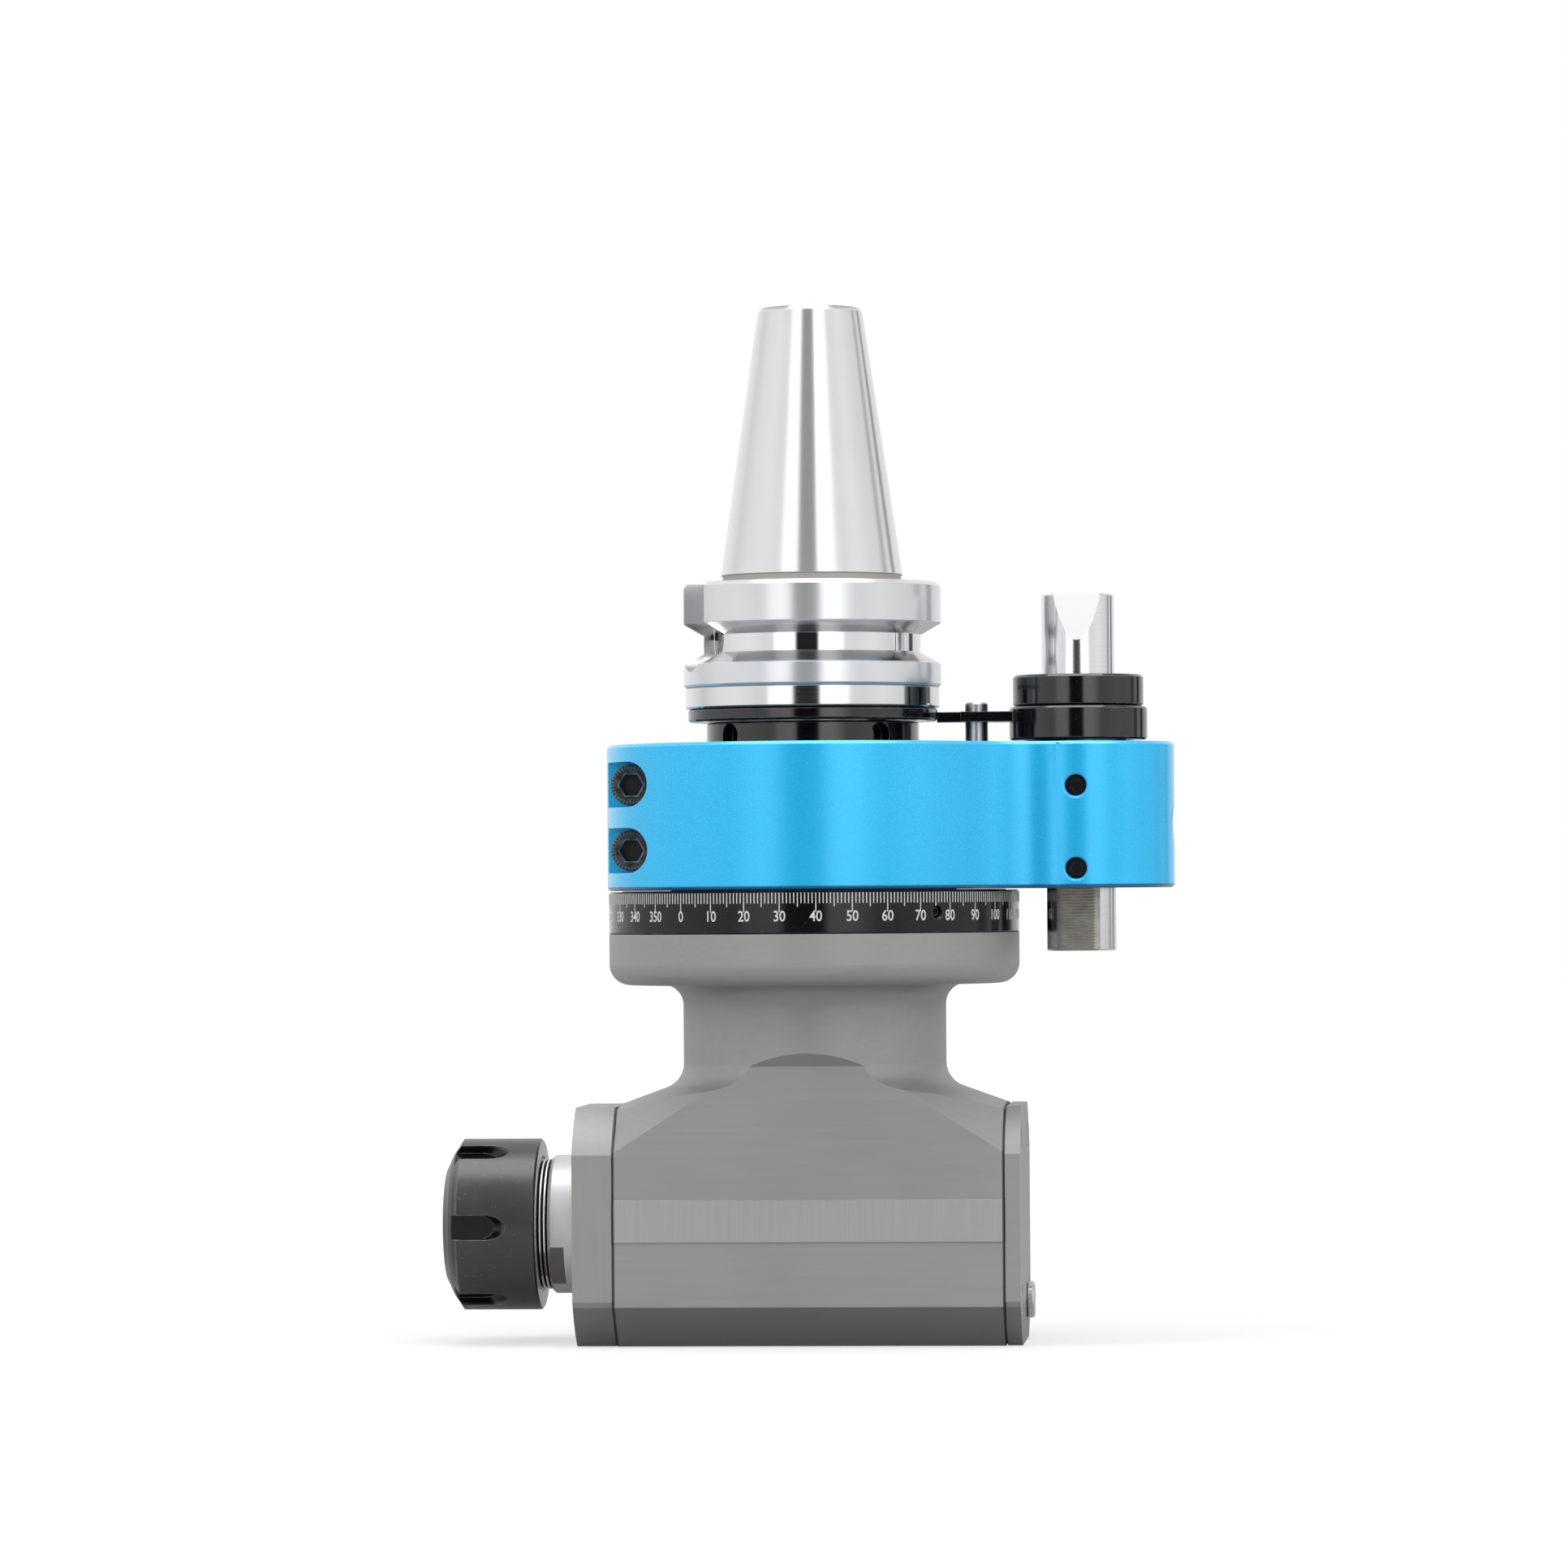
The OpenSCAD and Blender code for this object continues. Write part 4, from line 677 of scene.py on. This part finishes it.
def digit_mesh(text):
    """Plain figures as a thin solid, centred along the ring."""
    curve = bpy.data.curves.new("figure", "FONT")
    curve.body = text
    curve.align_x = "CENTER"
    curve.size = DIGIT_H / FONT_DIGIT_H
    curve.extrude = (MARK_RISE + MARK_SINK) / 2
    curve.offset = DIGIT_BOLD
    curve.resolution_u = 3
    figure = bpy.data.objects.new("figure", curve)
    bpy.context.scene.collection.objects.link(figure)
    select_only(figure)
    bpy.ops.object.convert(target="MESH")
    figure = bpy.context.object
    narrow = DIGIT_W / (FONT_DIGIT_W * DIGIT_H)
    figure.data.transform(Matrix.Diagonal((narrow, 1, 1, 1)))
    figure.data.transform(Matrix.Rotation(math.radians(90), 4, "X"))
    figure.data.transform(Matrix.Translation((0, (MARK_RISE - MARK_SINK) / 2, DIGIT_Z)))
    return mesh_of(figure)


def add_figures():
    return join([mark_at(digit_mesh(str(degree)), degree)
                 for degree in range(0, 360, FIGURE_STEP)], "degree_figures")


def add_graduations():
    paint = mark_paint()
    for marks in (add_ticks(), add_figures()):
        marks.data.materials.clear()
        marks.data.materials.append(paint)
        edit_whole(marks, bpy.ops.mesh.normals_make_consistent, inside=False)
        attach(marks, "housing")


add_graduations()


# Return spring of the stop pin
MERGE_WITHIN = 0.001 * MM
SMOOTH_BELOW = 50


def add_return_spring():
    """A merged and smoothed copy of the spring that moves with the stop pin, with the original
    spring hidden.
    """
    spring = bpy.data.objects.new("return_spring", nodes["pin_spring"].data.copy())
    bpy.context.scene.collection.objects.link(spring)
    edit_whole(spring, bpy.ops.mesh.remove_doubles, threshold=MERGE_WITHIN)
    bpy.ops.object.shade_smooth_by_angle(angle=math.radians(SMOOTH_BELOW))
    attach(spring, "stop_pin")
    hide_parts("pin_spring")
    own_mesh(spring)


add_return_spring()


# Stage, with its lengths in metres and brightness from 0 to 1
FLOOR_SIZE = 12
FLOOR_COLOUR = (0.36, 0.36, 0.36, 1)
FLOOR_GLOW = 0.6
FLOOR_SHEEN = 0.2
FLOOR_FADE = 0.8
DIFFUSE_SKY = 0.62
OVERHEAD = 0.75
OVERHEAD_SOFTNESS = 0.5

# Brightness round the horizon as polished metal sees it, by the angle from the camera in degrees
GLOSSY_BANDS = [(-180, 0.95), (-150, 1.05), (-128, 0.95), (-119, 0.80), (-94, 1.05), (-71, 1.1),
                (-52, 0.98), (-43, 1.0), (-39, 1.7), (-24, 1.9), (-19, 1.5), (-16.5, 0.02),
                (5, 0.02), (8, 2.2), (22, 2.2), (31, 1.5), (36, 1.0), (47, 0.98), (67, 1.08),
                (87, 0.92), (103, 0.85), (106, 0.3), (112, 0.35), (116, 0.95), (123, 0.9),
                (126, 0.08), (132, 0.08), (136, 0.95), (180, 0.95)]
BAND_PEAK = 2.5

# Soft boxes: name, place, size, watts, and whether polished metal shows them
PANELS = [("left_box", (-1.25, -0.85, 0.7), (0.5, 1.1), 10.5, False),
          ("right_box", (1.35, -0.75, 0.6), (0.5, 1.1), 10.5, False),
          ("top_box", (0.0, -0.1, 1.3), (1.0, 0.8), 8, True)]
PANEL_TARGET = (0, 0, 0.1)


def add_floor():
    """A pale floor that keeps the object's shadow and fades to white with distance."""
    bpy.ops.object.select_all(action="DESELECT")
    bpy.ops.mesh.primitive_plane_add(size=FLOOR_SIZE, location=(0, 0, 0))
    floor = bpy.context.object
    floor.name = "floor"
    material = bpy.data.materials.new("floor")
    material.use_nodes = True
    tree = material.node_tree
    tree.nodes.clear()
    seen = add_node(tree, "ShaderNodeLightPath", output="Is Camera Ray")
    mirrored = add_node(tree, "ShaderNodeLightPath", output="Is Glossy Ray")
    through = add_node(tree, "ShaderNodeLightPath", output="Is Transmission Ray")
    place = add_node(tree, "ShaderNodeTexCoord", output="Object")
    away = add_node(tree, "ShaderNodeVectorMath", {"operation": "LENGTH"}, {0: place},
                    output="Value").over(FLOOR_FADE, 1.0)
    direct = (seen.larger(through) * (away * (1 - FLOOR_GLOW) + FLOOR_GLOW)
              + mirrored * FLOOR_SHEEN)
    plain = add_node(tree, "ShaderNodeBsdfDiffuse", {}, {"Color": FLOOR_COLOUR})
    glow = add_node(tree, "ShaderNodeEmission", {}, {"Color": (1, 1, 1, 1), "Strength": direct})
    both = add_node(tree, "ShaderNodeAddShader", {}, {0: plain, 1: glow})
    add_node(tree, "ShaderNodeOutputMaterial", {}, {"Surface": both})
    floor.data.materials.append(material)


def set_world():
    """White to the camera, an even sky for matt surfaces, bands for polished ones."""
    world = bpy.data.worlds.new("studio")
    bpy.context.scene.world = world
    world.use_nodes = True
    tree = world.node_tree
    tree.nodes.clear()
    x, y, z = coordinates(add_node(tree, "ShaderNodeTexCoord", output="Generated"))
    turn = math.radians(CAMERA_AZIMUTH)
    side = x * math.cos(turn) + y * math.sin(turn)
    towards = x * math.sin(turn) - y * math.cos(turn)
    angle = side.angle_from(towards) * (0.5 / math.pi) + 0.5
    stops = [((degrees + 180) / 360, value / BAND_PEAK) for degrees, value in GLOSSY_BANDS]
    bands = add_node(tree, "ShaderNodeValToRGB", {"stops": stops}, {"Fac": angle})
    overhead = z.over(OVERHEAD, OVERHEAD_SOFTNESS)
    glossy = bands * BAND_PEAK * (1 - overhead) + overhead
    seen = add_node(tree, "ShaderNodeLightPath", output="Is Camera Ray")
    mirrored = add_node(tree, "ShaderNodeLightPath", output="Is Glossy Ray")
    strength = DIFFUSE_SKY * (1 - mirrored) * (1 - seen) + glossy * mirrored + seen
    background = add_node(tree, "ShaderNodeBackground", {},
                          {"Color": (1, 1, 1, 1), "Strength": strength})
    add_node(tree, "ShaderNodeOutputWorld", {}, {"Surface": background})


def add_panel(name, place, size, watts, mirrored):
    """A soft box that points at the target on the object's upright axis."""
    data = bpy.data.lights.new(name, "AREA")
    data.shape = "RECTANGLE"
    data.size, data.size_y = size
    data.energy = watts
    lamp = bpy.data.objects.new(name, data)
    lamp.location = place
    lamp.visible_glossy = mirrored
    aim = Vector(PANEL_TARGET) - Vector(place)
    lamp.rotation_euler = aim.to_track_quat("-Z", "Y").to_euler()
    bpy.context.scene.collection.objects.link(lamp)


add_floor()
set_world()
for panel in PANELS:
    add_panel(*panel)

bpy.context.scene.view_settings.view_transform = "Standard"
